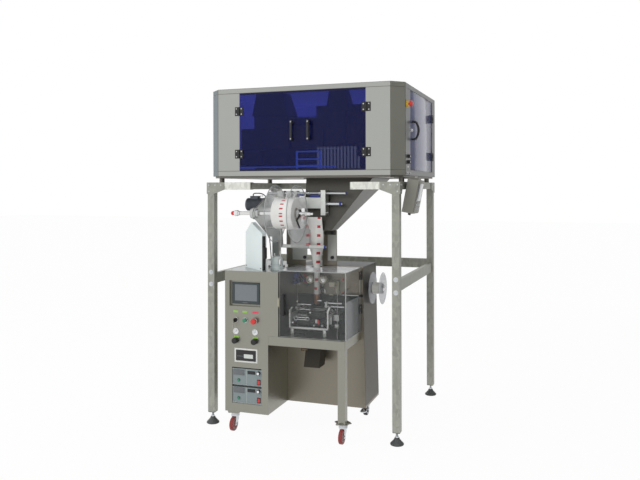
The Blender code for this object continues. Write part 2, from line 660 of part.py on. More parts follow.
def discharge_funnel():
    """The tapered chute from the hood floor to the forming tube, with its rear fixing tab."""
    top = HOOD_BOTTOM - FLOOR_THICK - 2 * GAP
    wall = SHEET

    def loop(right, depth, z, inset):
        x0, x1, y0, y1 = FUNNEL_LEFT + inset, right - inset, depth[0] + inset, depth[1] - inset
        return [(x0, y0, z), (x1, y0, z), (x1, y1, z), (x0, y1, z)]

    outer = frustum(loop(FUNNEL_OUTLET_X, FUNNEL_OUTLET_Y, FUNNEL_OUTLET_Z, 0),
                    loop(FUNNEL_TOP_X, FUNNEL_TOP_Y, top, 0))
    inner = frustum(loop(FUNNEL_OUTLET_X, FUNNEL_OUTLET_Y, FUNNEL_OUTLET_Z + wall, wall),
                    loop(FUNNEL_TOP_X, FUNNEL_TOP_Y, top + 0.0001, wall))
    flange = loop(FUNNEL_TOP_X, FUNNEL_TOP_Y, top, -0.014)
    rim = frustum([(x, y, z - 0.004) for x, y, z in flange], flange)
    opening = loop(FUNNEL_TOP_X, FUNNEL_TOP_Y, top - 0.01, 0.010)
    mouth = frustum(opening, [(x, y, z + 0.02) for x, y, z in opening])
    back = FUNNEL_OUTLET_Y[1]
    tab = block(TAB_LEFT, FUNNEL_OUTLET_X - 0.01, back - 0.004, back + 0.003,
                FUNNEL_OUTLET_Z - 0.036, FUNNEL_OUTLET_Z + 0.004)
    spout = turned(((SPOUT_RADIUS + 0.0025, FUNNEL_OUTLET_Z - 0.030),
                    (SPOUT_RADIUS + 0.0025, FUNNEL_OUTLET_Z + 0.001)),
                   (FORMER_X, FORMER_Y, 0), sides=20)
    bore = turned(((SPOUT_RADIUS, FUNNEL_OUTLET_Z - 0.04), (SPOUT_RADIUS, FUNNEL_OUTLET_Z + 0.01)),
                  (FORMER_X, FORMER_Y, 0), sides=20)
    piece("discharge_funnel", "dark_stainless", [outer, rim, tab, spout], [inner, mouth, bore])


def forming_tube():
    """The tube that the film wraps round: a wide mouth under the funnel, down to the stick's own width."""
    top = FUNNEL_OUTLET_Z - GAP
    radius, mouth = FORMER_RADIUS, SPOUT_RADIUS + 0.007
    neck = FORMER_BOTTOM + 0.190
    bends = [(radius, FORMER_BOTTOM), (radius, neck), (radius + 0.005, neck + 0.060), (mouth, top - 0.030),
             (mouth, top - 0.003)]
    outer = turned([*bends, (mouth + 0.014, top - 0.003), (mouth + 0.014, top)], (FORMER_X, FORMER_Y, 0),
                   sides=20)
    hollow = [(r - 0.0015, z) for r, z in bends]
    hollow[0] = (hollow[0][0], FORMER_BOTTOM - 0.01)
    hollow[-1] = (hollow[-1][0], top + 0.01)
    inner = turned(hollow, (FORMER_X, FORMER_Y, 0), sides=20)
    piece("forming_tube", "brushed_stainless", [outer], [inner])


def film_web():
    """The film on its way down to the forming tube, narrowing as it starts to wrap round it."""
    foot, z = FORMER_Y - FORMER_RADIUS - 0.0008, FORMER_BOTTOM + 0.192
    front = FORMER_Y - 0.092
    low = [(FORMER_X - 0.020, foot - 0.001, z), (FORMER_X + 0.020, foot - 0.001, z),
           (FORMER_X + 0.020, foot, z), (FORMER_X - 0.020, foot, z)]
    high = [(FORMER_X - 0.070, front - 0.001, WEB_TOP), (FORMER_X + 0.065, front - 0.001, WEB_TOP),
            (FORMER_X + 0.065, front, WEB_TOP), (FORMER_X - 0.070, front, WEB_TOP)]
    piece("film_web", "film", [frustum(low, high)])


def product_path():
    weigher()
    discharge_funnel()
    forming_tube()
    film_web()


# ---- base machine ----

CABINET_LEFT = COLUMN_RIGHT + GAP
TABLE_Y1 = CABINET_FRONT - GAP
SCREEN_FACE = BASE_FRONT + SCREEN_RECESS
LOWER_UNIT = WINDOW_BOTTOM + SHELF
UPPER_UNIT = LOWER_UNIT + GAP + GENERATOR_HEIGHT + SHELF
WINDOW_TOP = UPPER_UNIT + GENERATOR_HEIGHT + 0.0057
CASTOR_PADS = {"front_left": (BASE_LEFT + 0.055, BASE_FRONT + 0.045),
               "rear_left": (BASE_LEFT + 0.055, BASE_BACK - 0.045),
               "front_right": (TABLE_RIGHT - LEG / 2, BASE_FRONT + LEG / 2 + 0.012),
               "rear_right": (CABINET_RIGHT - 0.055, BASE_BACK - 0.045)}
PANEL_HOLES = [(PANEL_COLUMNS[0], BUTTON_ROW, 0.006), (PANEL_COLUMNS[1], BUTTON_ROW, 0.007),
               (PANEL_COLUMNS[2], BUTTON_ROW, 0.006), (PANEL_COLUMNS[0], KNOB_ROW, 0.005),
               (PANEL_COLUMNS[2], KNOB_ROW, 0.005)]


def castor_pad(corner, top):
    """The fixed top plate of a castor, with the hole that its kingpin turns in: (pad, hole)."""
    x, y = CASTOR_PADS[corner]
    low = CROWN_TOP + GAP
    pad = block(x - PAD / 2, x + PAD / 2, y - PAD / 2, y + PAD / 2, low, top)
    return pad, rod((x, y, low - 0.001), (x, y, low + 0.0065), KINGPIN + FIT)


def control_column():
    wall = SHEET
    front, back = BASE_FRONT, BASE_BACK
    wing_back = CABINET_FRONT - GAP
    shapes = [block(BASE_LEFT, COLUMN_RIGHT, front, back, BASE_BOTTOM, COLUMN_TOP),
              block(COLUMN_RIGHT - 0.001, WING_RIGHT, front, wing_back, TABLE_TOP, COLUMN_TOP)]
    cuts = [block(BASE_LEFT + wall, COLUMN_RIGHT - wall, front + wall, back - wall, BASE_BOTTOM + wall,
                  COLUMN_TOP - wall),
            block(COLUMN_RIGHT - 0.02, WING_RIGHT - wall, front + wall, wing_back - wall,
                  TABLE_TOP + wall, COLUMN_TOP - wall),
            block(BASE_LEFT + 0.11, COLUMN_RIGHT - 0.04, front + 0.11, back - 0.11, BASE_BOTTOM - 0.01,
                  BASE_BOTTOM + 0.01)]
    shell = shapes[0]
    combine(shell, shapes[1:], "UNION")
    combine(shell, cuts, "DIFFERENCE")
    added, holes = [], []
    for z in (LOWER_UNIT - SHELF, UPPER_UNIT - SHELF):
        added.append(block(BASE_LEFT + 0.001, COLUMN_RIGHT - 0.001, front + 0.001, front + GENERATOR_DEPTH,
                           z, z + SHELF))
    for corner in ("front_left", "rear_left"):
        pad, hole = castor_pad(corner, BASE_BOTTOM + 0.001)
        added.append(pad)
        holes.append(hole)
    # the screen's tray: a box behind the wall, opened from the front and cut through for the screen
    wide, high = SCREEN_WIDTH / 2, SCREEN_HEIGHT / 2
    rim = 0.013
    added.append(block(SCREEN_X - wide - rim - wall, SCREEN_X + wide + rim + wall, front + 0.001,
                       SCREEN_FACE + wall,
                       SCREEN_Z - high - rim - wall, SCREEN_Z + high + rim + wall))
    holes.append(block(SCREEN_X - wide - rim, SCREEN_X + wide + rim, front - 0.01, SCREEN_FACE,
                       SCREEN_Z - high - rim, SCREEN_Z + high + rim))
    holes.append(block(SCREEN_X - wide, SCREEN_X + wide, front, SCREEN_FACE + 0.01, SCREEN_Z - high,
                       SCREEN_Z + high))
    half = WINDOW_WIDTH / 2
    holes.append(block(GENERATOR_X - half, GENERATOR_X + half, front - 0.01, front + 0.002 + wall,
                       WINDOW_BOTTOM + SHELF, WINDOW_TOP))
    for x, z, radius in PANEL_HOLES:
        holes.append(rod((x, front - 0.01, z), (x, front + 0.01, z), radius + FIT))
    piece("control_column", "brushed_stainless", [shell, *added], holes)


def rear_cabinet():
    """The rear housing, a little wider at its foot, with the upright plates that hold the funnel."""
    wall = SHEET
    foot_x = CABINET_RIGHT + CABINET_SPREAD

    def outline(inset):
        return [(CABINET_LEFT + inset, BASE_BOTTOM + inset), (foot_x - inset, BASE_BOTTOM + inset),
                (CABINET_RIGHT - inset, CABINET_TOP - inset), (CABINET_LEFT + inset, CABINET_TOP - inset)]

    shell = prism(outline(0), "y", CABINET_FRONT, BASE_BACK)
    hollow = prism(outline(wall), "y", CABINET_FRONT + wall, BASE_BACK - wall)
    under = block(CABINET_LEFT + 0.05, CABINET_RIGHT - 0.12, CABINET_FRONT + 0.05, BASE_BACK - 0.11,
                  BASE_BOTTOM - 0.01, BASE_BOTTOM + 0.01)
    combine(shell, [hollow, under], "DIFFERENCE")
    plate_y = FUNNEL_OUTLET_Y[1] + 0.003 + GAP
    added = [block(x0, x1, plate_y, plate_y + 0.008, CABINET_TOP - 0.001, PLATE_TOP)
             for x0, x1 in PLATE_SPANS]
    pad, hole = castor_pad("rear_right", BASE_BOTTOM + 0.001)
    holes = [hole]
    for x in ROLLER_X:
        holes.append(rod((x, CABINET_FRONT - 0.01, ROLLER_Z), (x, CABINET_FRONT + 0.01, ROLLER_Z),
                         0.007 + FIT))
    reel_x = CABINET_RIGHT
    holes.append(rod((reel_x - 0.03, THREAD_Y, THREAD_Z), (reel_x + 0.03, THREAD_Y, THREAD_Z), 0.008 + FIT))
    added += [pad, *hinge_stub()]
    piece("rear_cabinet", "brushed_stainless", [shell, *added], holes)


GUARD_AXIS = (GUARD_RIGHT + KNUCKLE + 0.0005, CABINET_FRONT - KNUCKLE - 0.004)


def hinge_stub():
    """The fixed halves of the guard's hinges, on the cabinet's front edge."""
    x, y = GUARD_AXIS
    shapes = []
    for z in GUARD_HINGES:
        third = HINGE_HEIGHT / 3
        for z0 in (z - HINGE_HEIGHT / 2, z + HINGE_HEIGHT / 2 - third):
            shapes.append(block(x - 0.002, x + 0.006, y, CABINET_FRONT + 0.001, z0, z0 + third))
            shapes.append(rod((x, y, z0), (x, y, z0 + third), KNUCKLE - 0.0005))
    return shapes


def work_table():
    """A folded steel table between the column and its own leg, with the exit chute under its hole."""
    wall = SHEET
    top = TABLE_TOP - GAP
    left = COLUMN_RIGHT + GAP
    drop = TABLE_TOP - APRON
    plate = block(left, TABLE_RIGHT, BASE_FRONT, TABLE_Y1, top - wall, top)
    aprons = [block(left, TABLE_RIGHT, BASE_FRONT, BASE_FRONT + wall, drop, top),
              block(TABLE_RIGHT - wall, TABLE_RIGHT, BASE_FRONT, TABLE_Y1, drop, top)]
    leg_x, leg_y = TABLE_RIGHT - LEG, BASE_FRONT
    leg = block(leg_x, TABLE_RIGHT, leg_y, leg_y + LEG, LEG_BOTTOM, top - 0.001)
    hollow = block(leg_x + wall, TABLE_RIGHT - wall, leg_y + wall, leg_y + LEG - wall, LEG_BOTTOM + 0.004,
                   top - 0.02)
    vent_x, vent_z = leg_x + LEG / 2, LEG_BOTTOM + 0.173
    vent = rod((vent_x, leg_y + LEG - 0.01, vent_z), (vent_x, leg_y + LEG + 0.01, vent_z), 0.008)
    x, y = CASTOR_PADS["front_right"]
    reach = 0.058
    foot = prism([(x - reach, y), (x, y - reach), (x + reach, y), (x, y + reach)], "z", LEG_BOTTOM - 0.001,
                 LEG_BOTTOM + 0.003)
    pad, hole = castor_pad("front_right", LEG_BOTTOM)
    half = CHUTE_WIDTH / 2
    x0, x1 = FORMER_X - half, FORMER_X + half
    mouth, end, lean = 0.055, CHUTE_BOTTOM, 0.060
    outer = [(FORMER_Y - mouth, top - 0.001), (FORMER_Y - mouth, top - 0.060),
             (FORMER_Y - mouth - lean, end),
             (FORMER_Y + mouth - lean, end), (FORMER_Y + mouth, top - 0.060),
             (FORMER_Y + mouth, top - 0.001)]
    inner = [(FORMER_Y - mouth + wall, top + 0.01), (FORMER_Y - mouth + wall, top - 0.060),
             (FORMER_Y - mouth + wall - lean, end - 0.002), (FORMER_Y + mouth - wall - lean, end - 0.002),
             (FORMER_Y + mouth - wall, top - 0.060), (FORMER_Y + mouth - wall, top + 0.01)]
    chute = prism(outer, "x", x0, x1)
    channel = prism(inner, "x", x0 + wall, x1 - wall)
    piece("work_table", "brushed_stainless", [plate, *aprons, leg, foot, pad, chute],
          [hollow, vent, channel, hole])


def base_machine():
    control_column()
    rear_cabinet()
    work_table()


# ---- operator panel ----


def dial(name, finish, x, z, radius, length, stem):
    """A knob on the panel: its cap stands off the front and its stem turns in the panel's hole."""
    cap = turned(((radius * 0.8, -length), (radius, -length + 0.004), (radius, -0.003),
                  (radius * 0.75, -GAP)),
                 (x, BASE_FRONT, z), "y", 16)
    spindle = rod((x, BASE_FRONT - 0.004, z), (x, BASE_FRONT + 0.014, z), stem)
    return piece(name, finish, [cap, spindle], joint=(x, BASE_FRONT, z))


def operator_panel():
    wide, high = SCREEN_WIDTH / 2 - 0.0004, SCREEN_HEIGHT / 2 - 0.0004
    face = SCREEN_FACE - 0.005
    bezel = block(SCREEN_X - wide, SCREEN_X + wide, face, SCREEN_FACE + 0.030, SCREEN_Z - high,
                  SCREEN_Z + high)
    glass = block(SCREEN_X - wide + 0.018, SCREEN_X + wide - 0.018, face - 0.01, face + 0.0015,
                  SCREEN_Z - high + 0.020, SCREEN_Z + high - 0.014)
    piece("operator_screen", "black_plastic", [bezel], [glass])
    left, middle, right = PANEL_COLUMNS
    key = block(left - 0.0015, left + 0.0015, BASE_FRONT - 0.034, BASE_FRONT - 0.010, BUTTON_ROW - 0.016,
                BUTTON_ROW + 0.010)
    barrel = turned(((0.012, -0.014), (0.015, -0.011), (0.015, -GAP)), (left, BASE_FRONT, BUTTON_ROW), "y",
                    16)
    spindle = rod((left, BASE_FRONT - 0.002, BUTTON_ROW), (left, BASE_FRONT + 0.014, BUTTON_ROW), 0.006)
    piece("key_switch", "chromed_steel", [barrel, key, spindle], joint=(left, BASE_FRONT, BUTTON_ROW))
    # the two buttons stand proud by their travel
    cap = turned(((0.0125, -0.018), (0.0145, -0.016), (0.0145, -0.006)), (middle, BASE_FRONT, BUTTON_ROW),
                 "y", 16)
    stem = rod((middle, BASE_FRONT - 0.007, BUTTON_ROW), (middle, BASE_FRONT + 0.012, BUTTON_ROW), 0.007)
    piece("start_button", "green_plastic", [cap, stem], joint=(middle, BASE_FRONT, BUTTON_ROW))
    head = turned(((0.013, -0.038), (0.020, -0.031), (0.020, -0.022), (0.012, -0.016)),
                  (right, BASE_FRONT, BUTTON_ROW), "y", 16)
    stem = rod((right, BASE_FRONT - 0.018, BUTTON_ROW), (right, BASE_FRONT + 0.012, BUTTON_ROW), 0.006)
    piece("emergency_stop", "red_plastic", [head, stem], joint=(right, BASE_FRONT, BUTTON_ROW))
    for name, x in (("left", left), ("right", right)):
        dial("regulator_knob_" + name, "black_plastic", x, KNOB_ROW, 0.020, 0.032, 0.005)


def generators():
    """Two ultrasonic generators on the column's shelves, each with a level knob and a power rocker."""
    face = BASE_FRONT + SHEET + 0.0025
    for name, z0 in (("lower", LOWER_UNIT + GAP), ("upper", UPPER_UNIT + GAP)):
        z1 = z0 + GENERATOR_HEIGHT - 0.0025
        x0, x1 = GENERATOR_X - GENERATOR_WIDTH / 2, GENERATOR_X + GENERATOR_WIDTH / 2
        knob_x = GENERATOR_X + WINDOW_WIDTH / 2 - 0.022
        knob_z, rocker_z = z1 - 0.022, z0 + 0.030
        case = block(x0, x1, face, face + GENERATOR_DEPTH - 0.02, z0, z1)
        bore = rod((knob_x, face - 0.01, knob_z), (knob_x, face + 0.016, knob_z), 0.004 + FIT)
        slot = block(knob_x - 0.0095, knob_x + 0.0095, face - 0.01, face + 0.016, rocker_z - 0.0145,
                     rocker_z + 0.0145)
        inside = block(x0 + SHEET, x1 - SHEET, face + 0.020, face + GENERATOR_DEPTH, z0 + SHEET, z1 - SHEET)
        piece("generator_" + name, "grey_enamel", [case], [bore, slot, inside])
        cap = turned(((0.010, -0.016), (0.012, -0.014), (0.012, -GAP)), (knob_x, face, knob_z), "y", 16)
        stem = rod((knob_x, face - 0.002, knob_z), (knob_x, face + 0.014, knob_z), 0.004)
        piece("generator_knob_" + name, "black_plastic", [cap, stem], joint=(knob_x, face, knob_z))
        pivot = (knob_x, face + 0.004, rocker_z)
        side = [(0.0020, rocker_z + 0.0135), (-0.0050, rocker_z + 0.0125), (-0.0015, rocker_z),
                (-0.0050, rocker_z - 0.0125), (0.0020, rocker_z - 0.0135)]
        rocker = prism([(face + y, z) for y, z in side], "x", knob_x - 0.0090, knob_x + 0.0090)
        hub = rod((knob_x - 0.0090, *pivot[1:]), (knob_x + 0.0090, *pivot[1:]), 0.006)
        piece("power_rocker_" + name, "red_plastic", [rocker, hub], joint=pivot)


# ---- castors ----


def castor(corner):
    """A swivel castor: crown, kingpin, cheeks and axle are one fork, and the wheel turns on it."""
    x, y = CASTOR_PADS[corner]
    axle_y, axle_z = y - CASTOR_TRAIL, WHEEL_RADIUS
    inner, outer = WHEEL_WIDTH / 2 + 0.0015, WHEEL_WIDTH / 2 + 0.0045
    tyre_gap = WHEEL_RADIUS * 2 + 0.003
    crown = turned(((0.024, tyre_gap), (0.028, tyre_gap + 0.004), (0.028, CROWN_TOP)), (x, y, 0), sides=16)
    kingpin = rod((x, y, CROWN_TOP - 0.001), (x, y, CROWN_TOP + 0.005), KINGPIN)
    shapes = [crown, kingpin]
    for side in (-1, 1):
        cheek = [(y + 0.020, tyre_gap + 0.008), (y + 0.018, 0.070), (axle_y + 0.013, axle_z - 0.006),
                 (axle_y, axle_z - 0.013), (axle_y - 0.013, axle_z - 0.004), (y - 0.026, 0.074),
                 (y - 0.022, tyre_gap + 0.008)]
        shapes.append(prism(cheek, "x", *sorted((x + side * inner, x + side * outer))))
    shapes.append(rod((x - outer - 0.004, axle_y, axle_z), (x + outer + 0.004, axle_y, axle_z), 0.005))
    fork = piece("castor_fork_" + corner, "zinc_plate", shapes, joint=(x, y, CROWN_TOP))
    half = WHEEL_WIDTH / 2
    tyre = turned(((WHEEL_RADIUS - 0.005, -half), (WHEEL_RADIUS, -half + 0.006),
                   (WHEEL_RADIUS, half - 0.006),
                   (WHEEL_RADIUS - 0.005, half)), (x, axle_y, axle_z), "x", 24)
    bore = rod((x - 0.03, axle_y, axle_z), (x + 0.03, axle_y, axle_z), 0.005 + FIT)
    piece("castor_wheel_" + corner, "castor_red", [tyre], [bore], joint=(x, axle_y, axle_z), parent=fork)


def castors():
    for corner in CASTOR_PADS:
        castor(corner)


# ---- film unwind ----

MOTOR_Z = REEL_Z + 0.055
MOTOR_Y = REEL_Y + 0.180
BEAM_Y = REEL_Y + REEL_DISC + 0.008
BEAM_DEPTH = 0.033


def unwind_stand():
    """The post on the column, the side plate that carries the reel, and the cross beam with its plate."""
    x0, x1 = SIDE_PLATE_X, SIDE_PLATE_X + SIDE_PLATE
    low, high = REEL_Z - 0.179, REEL_Z + 0.143
    back = STAND_Y + 0.050
    plate = [(REEL_Y - 0.035, REEL_Z + 0.010), (REEL_Y - 0.030, REEL_Z - 0.025),
             (REEL_Y + 0.225, low + 0.010),
             (back, low), (back, high - 0.058), (REEL_Y + 0.300, high), (REEL_Y + 0.255, high),
             (REEL_Y - 0.010, REEL_Z + 0.034)]
    foot = COLUMN_TOP + GAP
    end = BEAM_RIGHT + 0.034
    tie_z, stub_z = REEL_Z + 0.134, REEL_Z + 0.062
    shapes = [prism(plate, "x", x0, x1),
              block(x1 - 0.001, x1 + 0.045, STAND_Y, back, foot, REEL_Z - 0.055),
              block(x1 - 0.025, x1 + 0.070, STAND_Y - 0.015, back + 0.015, foot, foot + 0.010),
              rod((x0 - 0.025, REEL_Y, REEL_Z), (x1 + 0.018, REEL_Y, REEL_Z), 0.028, 16),
              block(x1 - 0.001, BEAM_RIGHT + 0.001, BEAM_Y, BEAM_Y + BEAM_DEPTH, REEL_Z + 0.030,
                    REEL_Z + 0.105),
              block(BEAM_RIGHT, end, BEAM_Y - 0.030, BEAM_Y + BEAM_DEPTH + 0.006, REEL_Z - 0.015,
                    REEL_Z + 0.155),
              rod((x1 - 0.001, BEAM_Y, tie_z), (end + 0.136, BEAM_Y, tie_z), 0.008),
              rod((end - 0.004, BEAM_Y, stub_z), (end + 0.111, BEAM_Y, stub_z), 0.009)]
    bores = [rod((x0 - 0.05, REEL_Y, REEL_Z), (x1 + 0.05, REEL_Y, REEL_Z), SHAFT_RADIUS + FIT, 16),
             rod((x0 - 0.05, DANCER_Y, DANCER_Z), (x1 + 0.01, DANCER_Y, DANCER_Z), 0.008 + FIT)]
    piece("unwind_stand", "machined_aluminium", shapes, bores)


def unwind_motor():
    """The drum-shaped brake motor behind the side plate."""
    x1 = SIDE_PLATE_X - GAP
    shapes = [rod((x1 - 0.140, MOTOR_Y, MOTOR_Z), (x1 - 0.012, MOTOR_Y, MOTOR_Z), 0.045, 20),
              block(x1 - 0.014, x1, MOTOR_Y - 0.046, MOTOR_Y + 0.046, MOTOR_Z - 0.046, MOTOR_Z + 0.046),
              block(x1 - 0.110, x1 - 0.050, MOTOR_Y - 0.025, MOTOR_Y + 0.025, MOTOR_Z + 0.035,
                    MOTOR_Z + 0.060)]
    piece("unwind_motor", "black_plastic", shapes)


def reel():
    """The turning reel: its shaft, two clear discs and hub, and the film roll gripped between the discs."""
    left, right = ROLL_LEFT, ROLL_LEFT + ROLL_WIDTH
    disc, hub, boss = 0.008, 0.025, 0.030
    crank = SIDE_PLATE_X - 0.155
    profile = ((0.014, crank - 0.062), (0.020, crank - 0.056), (0.020, crank - 0.034),
               (0.012, crank - 0.034),
               (0.012, crank), (SHAFT_RADIUS, crank), (SHAFT_RADIUS, left - disc - 0.014),
               (boss, left - disc - 0.014), (boss, left - disc), (REEL_DISC, left - disc),
               (REEL_DISC, left - GAP),
               (hub, left - GAP), (hub, right + GAP), (REEL_DISC, right + GAP), (REEL_DISC, right + disc),
               (boss, right + disc), (boss, right + disc + 0.016), (SHAFT_RADIUS, right + disc + 0.016),
               (SHAFT_RADIUS, BEAM_RIGHT - 0.012), (0.009, BEAM_RIGHT - 0.012), (0.009, BEAM_RIGHT + 0.008))
    shaft = turned(profile, (0, REEL_Y, REEL_Z), "x", 28)
    spindle = piece("reel_spindle", "clear_acrylic", [shaft], joint=(left, REEL_Y, REEL_Z))
    roll = turned(((ROLL_RADIUS, left), (ROLL_RADIUS, right)), (0, REEL_Y, REEL_Z), "x", 28)
    bore = rod((left - 0.01, REEL_Y, REEL_Z), (right + 0.01, REEL_Y, REEL_Z), hub + GAP, 28)
    piece("film_roll", "film", [roll], [bore], joint=(left, REEL_Y, REEL_Z), parent=spindle)


def dancer():
    """The arm that hangs from a pin in the side plate, and the roller on its axle that the film tugs."""
    x0 = DANCER_X
    x1 = x0 + 0.010
    tip_y, tip_z = DANCER_Y + DANCER_LEAN, DANCER_Z - DANCER_DROP
    bar = [(DANCER_Y - 0.013, DANCER_Z + 0.014), (tip_y - 0.011, tip_z - 0.010),
           (tip_y + 0.011, tip_z - 0.010),
           (DANCER_Y + 0.013, DANCER_Z + 0.014)]
    pin = rod((SIDE_PLATE_X - 0.004, DANCER_Y, DANCER_Z), (x1 - 0.001, DANCER_Y, DANCER_Z), 0.008)
    axle = rod((x0 + 0.001, tip_y, tip_z), (x1 + DANCER_ROLLER + 0.006, tip_y, tip_z), 0.005)
    arm = piece("dancer_arm", "machined_aluminium", [prism(bar, "x", x0, x1), pin, axle],
                joint=(x0, DANCER_Y, DANCER_Z))
    tube = rod((x1 + GAP, tip_y, tip_z), (x1 + DANCER_ROLLER, tip_y, tip_z), 0.012, 16)
    bore = rod((x1 - 0.01, tip_y, tip_z), (x1 + DANCER_ROLLER + 0.01, tip_y, tip_z), 0.005 + FIT)
    piece("dancer_roller", "chromed_steel", [tube], [bore], joint=(x1, tip_y, tip_z), parent=arm)


def column_top_units():
    """The slim drive cover that stands across the column's top, and the round coder drum beside it."""
    z0 = COLUMN_TOP + GAP
    left, right, shoulder = COVER_X - COVER_WIDTH / 2, COVER_X + COVER_WIDTH / 2, z0 + COVER_SHOULDER
    outline = [(left, z0), (right, z0), (right, shoulder), (COVER_X - 0.040, z0 + COVER_PEAK),
               (left, shoulder)]
    half, wall = COVER_THICK / 2, SHEET
    inner = [(left + wall, z0 - 0.01), (right - wall, z0 - 0.01), (right - wall, shoulder - wall),
             (COVER_X - 0.040, z0 + COVER_PEAK - 2 * wall), (left + wall, shoulder - wall)]
    cover = prism(outline, "y", COVER_Y - half, COVER_Y + half)
    hollow = prism(inner, "y", COVER_Y - half + wall, COVER_Y + half - wall)
    cover, hollow = (turn_shape(shape, COVER_TURN, "Z", (COVER_X, COVER_Y, 0)) for shape in (cover, hollow))
    piece("drive_cover", "white_enamel", [cover], [hollow])
    flange, radius = DRUM_RADIUS + 0.004, DRUM_RADIUS
    drum = turned(((flange, z0), (flange, z0 + 0.016), (radius, z0 + 0.016), (radius, z0 + 0.075),
                   (radius - 0.012, z0 + 0.090)), (DRUM_X, DRUM_Y, 0), sides=20)
    piece("coder_drum", "machined_aluminium", [drum])


def film_unwind():
    unwind_stand()
    unwind_motor()
    reel()
    dancer()
    column_top_units()


# ---- sealing station ----

JAW_RIGHT = JAW_FRAME_LEFT + JAW_FRAME_WIDTH
GUIDE_X = (JAW_FRAME_LEFT + 0.030, JAW_RIGHT - 0.030)
ROLLER_X = [FORMER_X + side * (FORMER_RADIUS + 0.002 + ROLLER_RADIUS) for side in (-1, 1)]


def jaw_frame():
    """The U-shaped carrier on the cabinet's front, with the two guide rods that the jaws slide on."""
    left, right = JAW_FRAME_LEFT, JAW_RIGHT
    front, back = JAW_FRAME_FRONT, CABINET_FRONT - GAP
    bar = JAW_BAR
    shapes = [block(left, right, front, front + bar, JAW_FRAME_BOTTOM, JAW_FRAME_BOTTOM + bar)]
    for x in (left, right - bar):
        shapes.append(block(x, x + bar, front, front + bar, JAW_FRAME_BOTTOM, JAW_FRAME_TOP))
        shapes.append(block(x + 0.002, x + bar - 0.002, front + 0.002, back, JAW_Z - 0.030, JAW_Z + 0.030))
    ends = sorted((left + bar / 2, right - bar / 2))
    for y in (front + 0.060, back - 0.001 - 0.012):
        shapes.append(block(*ends, y, y + 0.012, JAW_Z - 0.012, JAW_Z + 0.012))
    for x in GUIDE_X:
        shapes.append(rod((x, front + 0.062, JAW_Z), (x, back - 0.002, JAW_Z), GUIDE_RADIUS))
    piece("jaw_frame", "machined_aluminium", shapes)


def jaws():
    """Two bars across the film, each bored for the guide rods; they close on each other along Y."""
    left, right = JAW_FRAME_LEFT + JAW_BAR + 0.004, JAW_RIGHT - JAW_BAR - 0.004
    for name, side, depth in (("front", -1, JAW_DEPTH), ("rear", 1, REAR_JAW_DEPTH)):
        inner = FORMER_Y + side * JAW_OPENING / 2
        y0, y1 = sorted((inner, inner + side * depth))
        bar = block(left, right, y0, y1, JAW_Z - JAW_HEIGHT / 2, JAW_Z + JAW_HEIGHT / 2)
        bores = [rod((x, y0 - 0.01, JAW_Z), (x, y1 + 0.01, JAW_Z), GUIDE_RADIUS + FIT) for x in GUIDE_X]
        piece("jaw_" + name, "chromed_steel", [bar], bores, joint=(FORMER_X, inner, JAW_Z))


def pull_rollers():
    """The pair of wheels that grip the film's edges on the forming tube and pull it down."""
    for name, x in zip(("left", "right"), ROLLER_X):
        y0, y1 = FORMER_Y - 0.020, FORMER_Y + 0.020
        wheel = turned(((ROLLER_RADIUS - 0.003, y0), (ROLLER_RADIUS, y0 + 0.004),
                        (ROLLER_RADIUS, y1 - 0.004),
                        (ROLLER_RADIUS - 0.003, y1)), (x, 0, ROLLER_Z), "y", 20)
        shaft = rod((x, y0 - 0.008, ROLLER_Z), (x, CABINET_FRONT + 0.020, ROLLER_Z), 0.007)
        piece("pull_roller_" + name, "black_rubber", [wheel, shaft], joint=(x, FORMER_Y, ROLLER_Z))


def seal_guard():
    """The clear cover over the sealing station: three panes, a grip and the moving halves of its hinges."""
    bottom = TABLE_TOP + 0.002
    pane = GUARD_PANE
    back = CABINET_FRONT - 0.016
    shapes = [block(GUARD_LEFT, GUARD_RIGHT, GUARD_FRONT, GUARD_FRONT + pane, bottom, GUARD_TOP),
              block(GUARD_RIGHT - pane, GUARD_RIGHT, GUARD_FRONT + 0.001, back, bottom, GUARD_TOP),
              block(GUARD_LEFT, GUARD_RIGHT, GUARD_FRONT + 0.001, back, GUARD_TOP - pane, GUARD_TOP)]
    grip_x, face = GUARD_LEFT + 0.032, GUARD_FRONT
    low, high = TABLE_TOP + 0.145, TABLE_TOP + 0.285
    shapes.append(block(grip_x - 0.013, grip_x + 0.013, face - 0.034, face - 0.018, low, high))
    shapes += [block(grip_x - 0.012, grip_x + 0.012, face - 0.020, face + 0.001, z, z + 0.022)
               for z in (low + 0.001, high - 0.023)]
    x, y = GUARD_AXIS
    third = HINGE_HEIGHT / 3
    for z in GUARD_HINGES:
        z0, z1 = z - third / 2 + GAP, z + third / 2 - GAP
        shapes.append(block(GUARD_RIGHT - 0.002, x, y - 0.0025, y + 0.0025, z0, z1))
        shapes.append(block(GUARD_RIGHT - pane, GUARD_RIGHT - 0.001, back - 0.002, y + 0.0025, z0, z1))
        shapes.append(rod((x, y, z0), (x, y, z1), KNUCKLE - 0.0005))
    half = FORMER_RADIUS + 0.020
    slot = block(FORMER_X - half, FORMER_X + half, FORMER_Y - 0.055, back + 0.01, GUARD_TOP - 0.02,
                 GUARD_TOP + 0.01)
    piece("seal_guard", "clear_acrylic", shapes, [slot], joint=(x, y, 0))


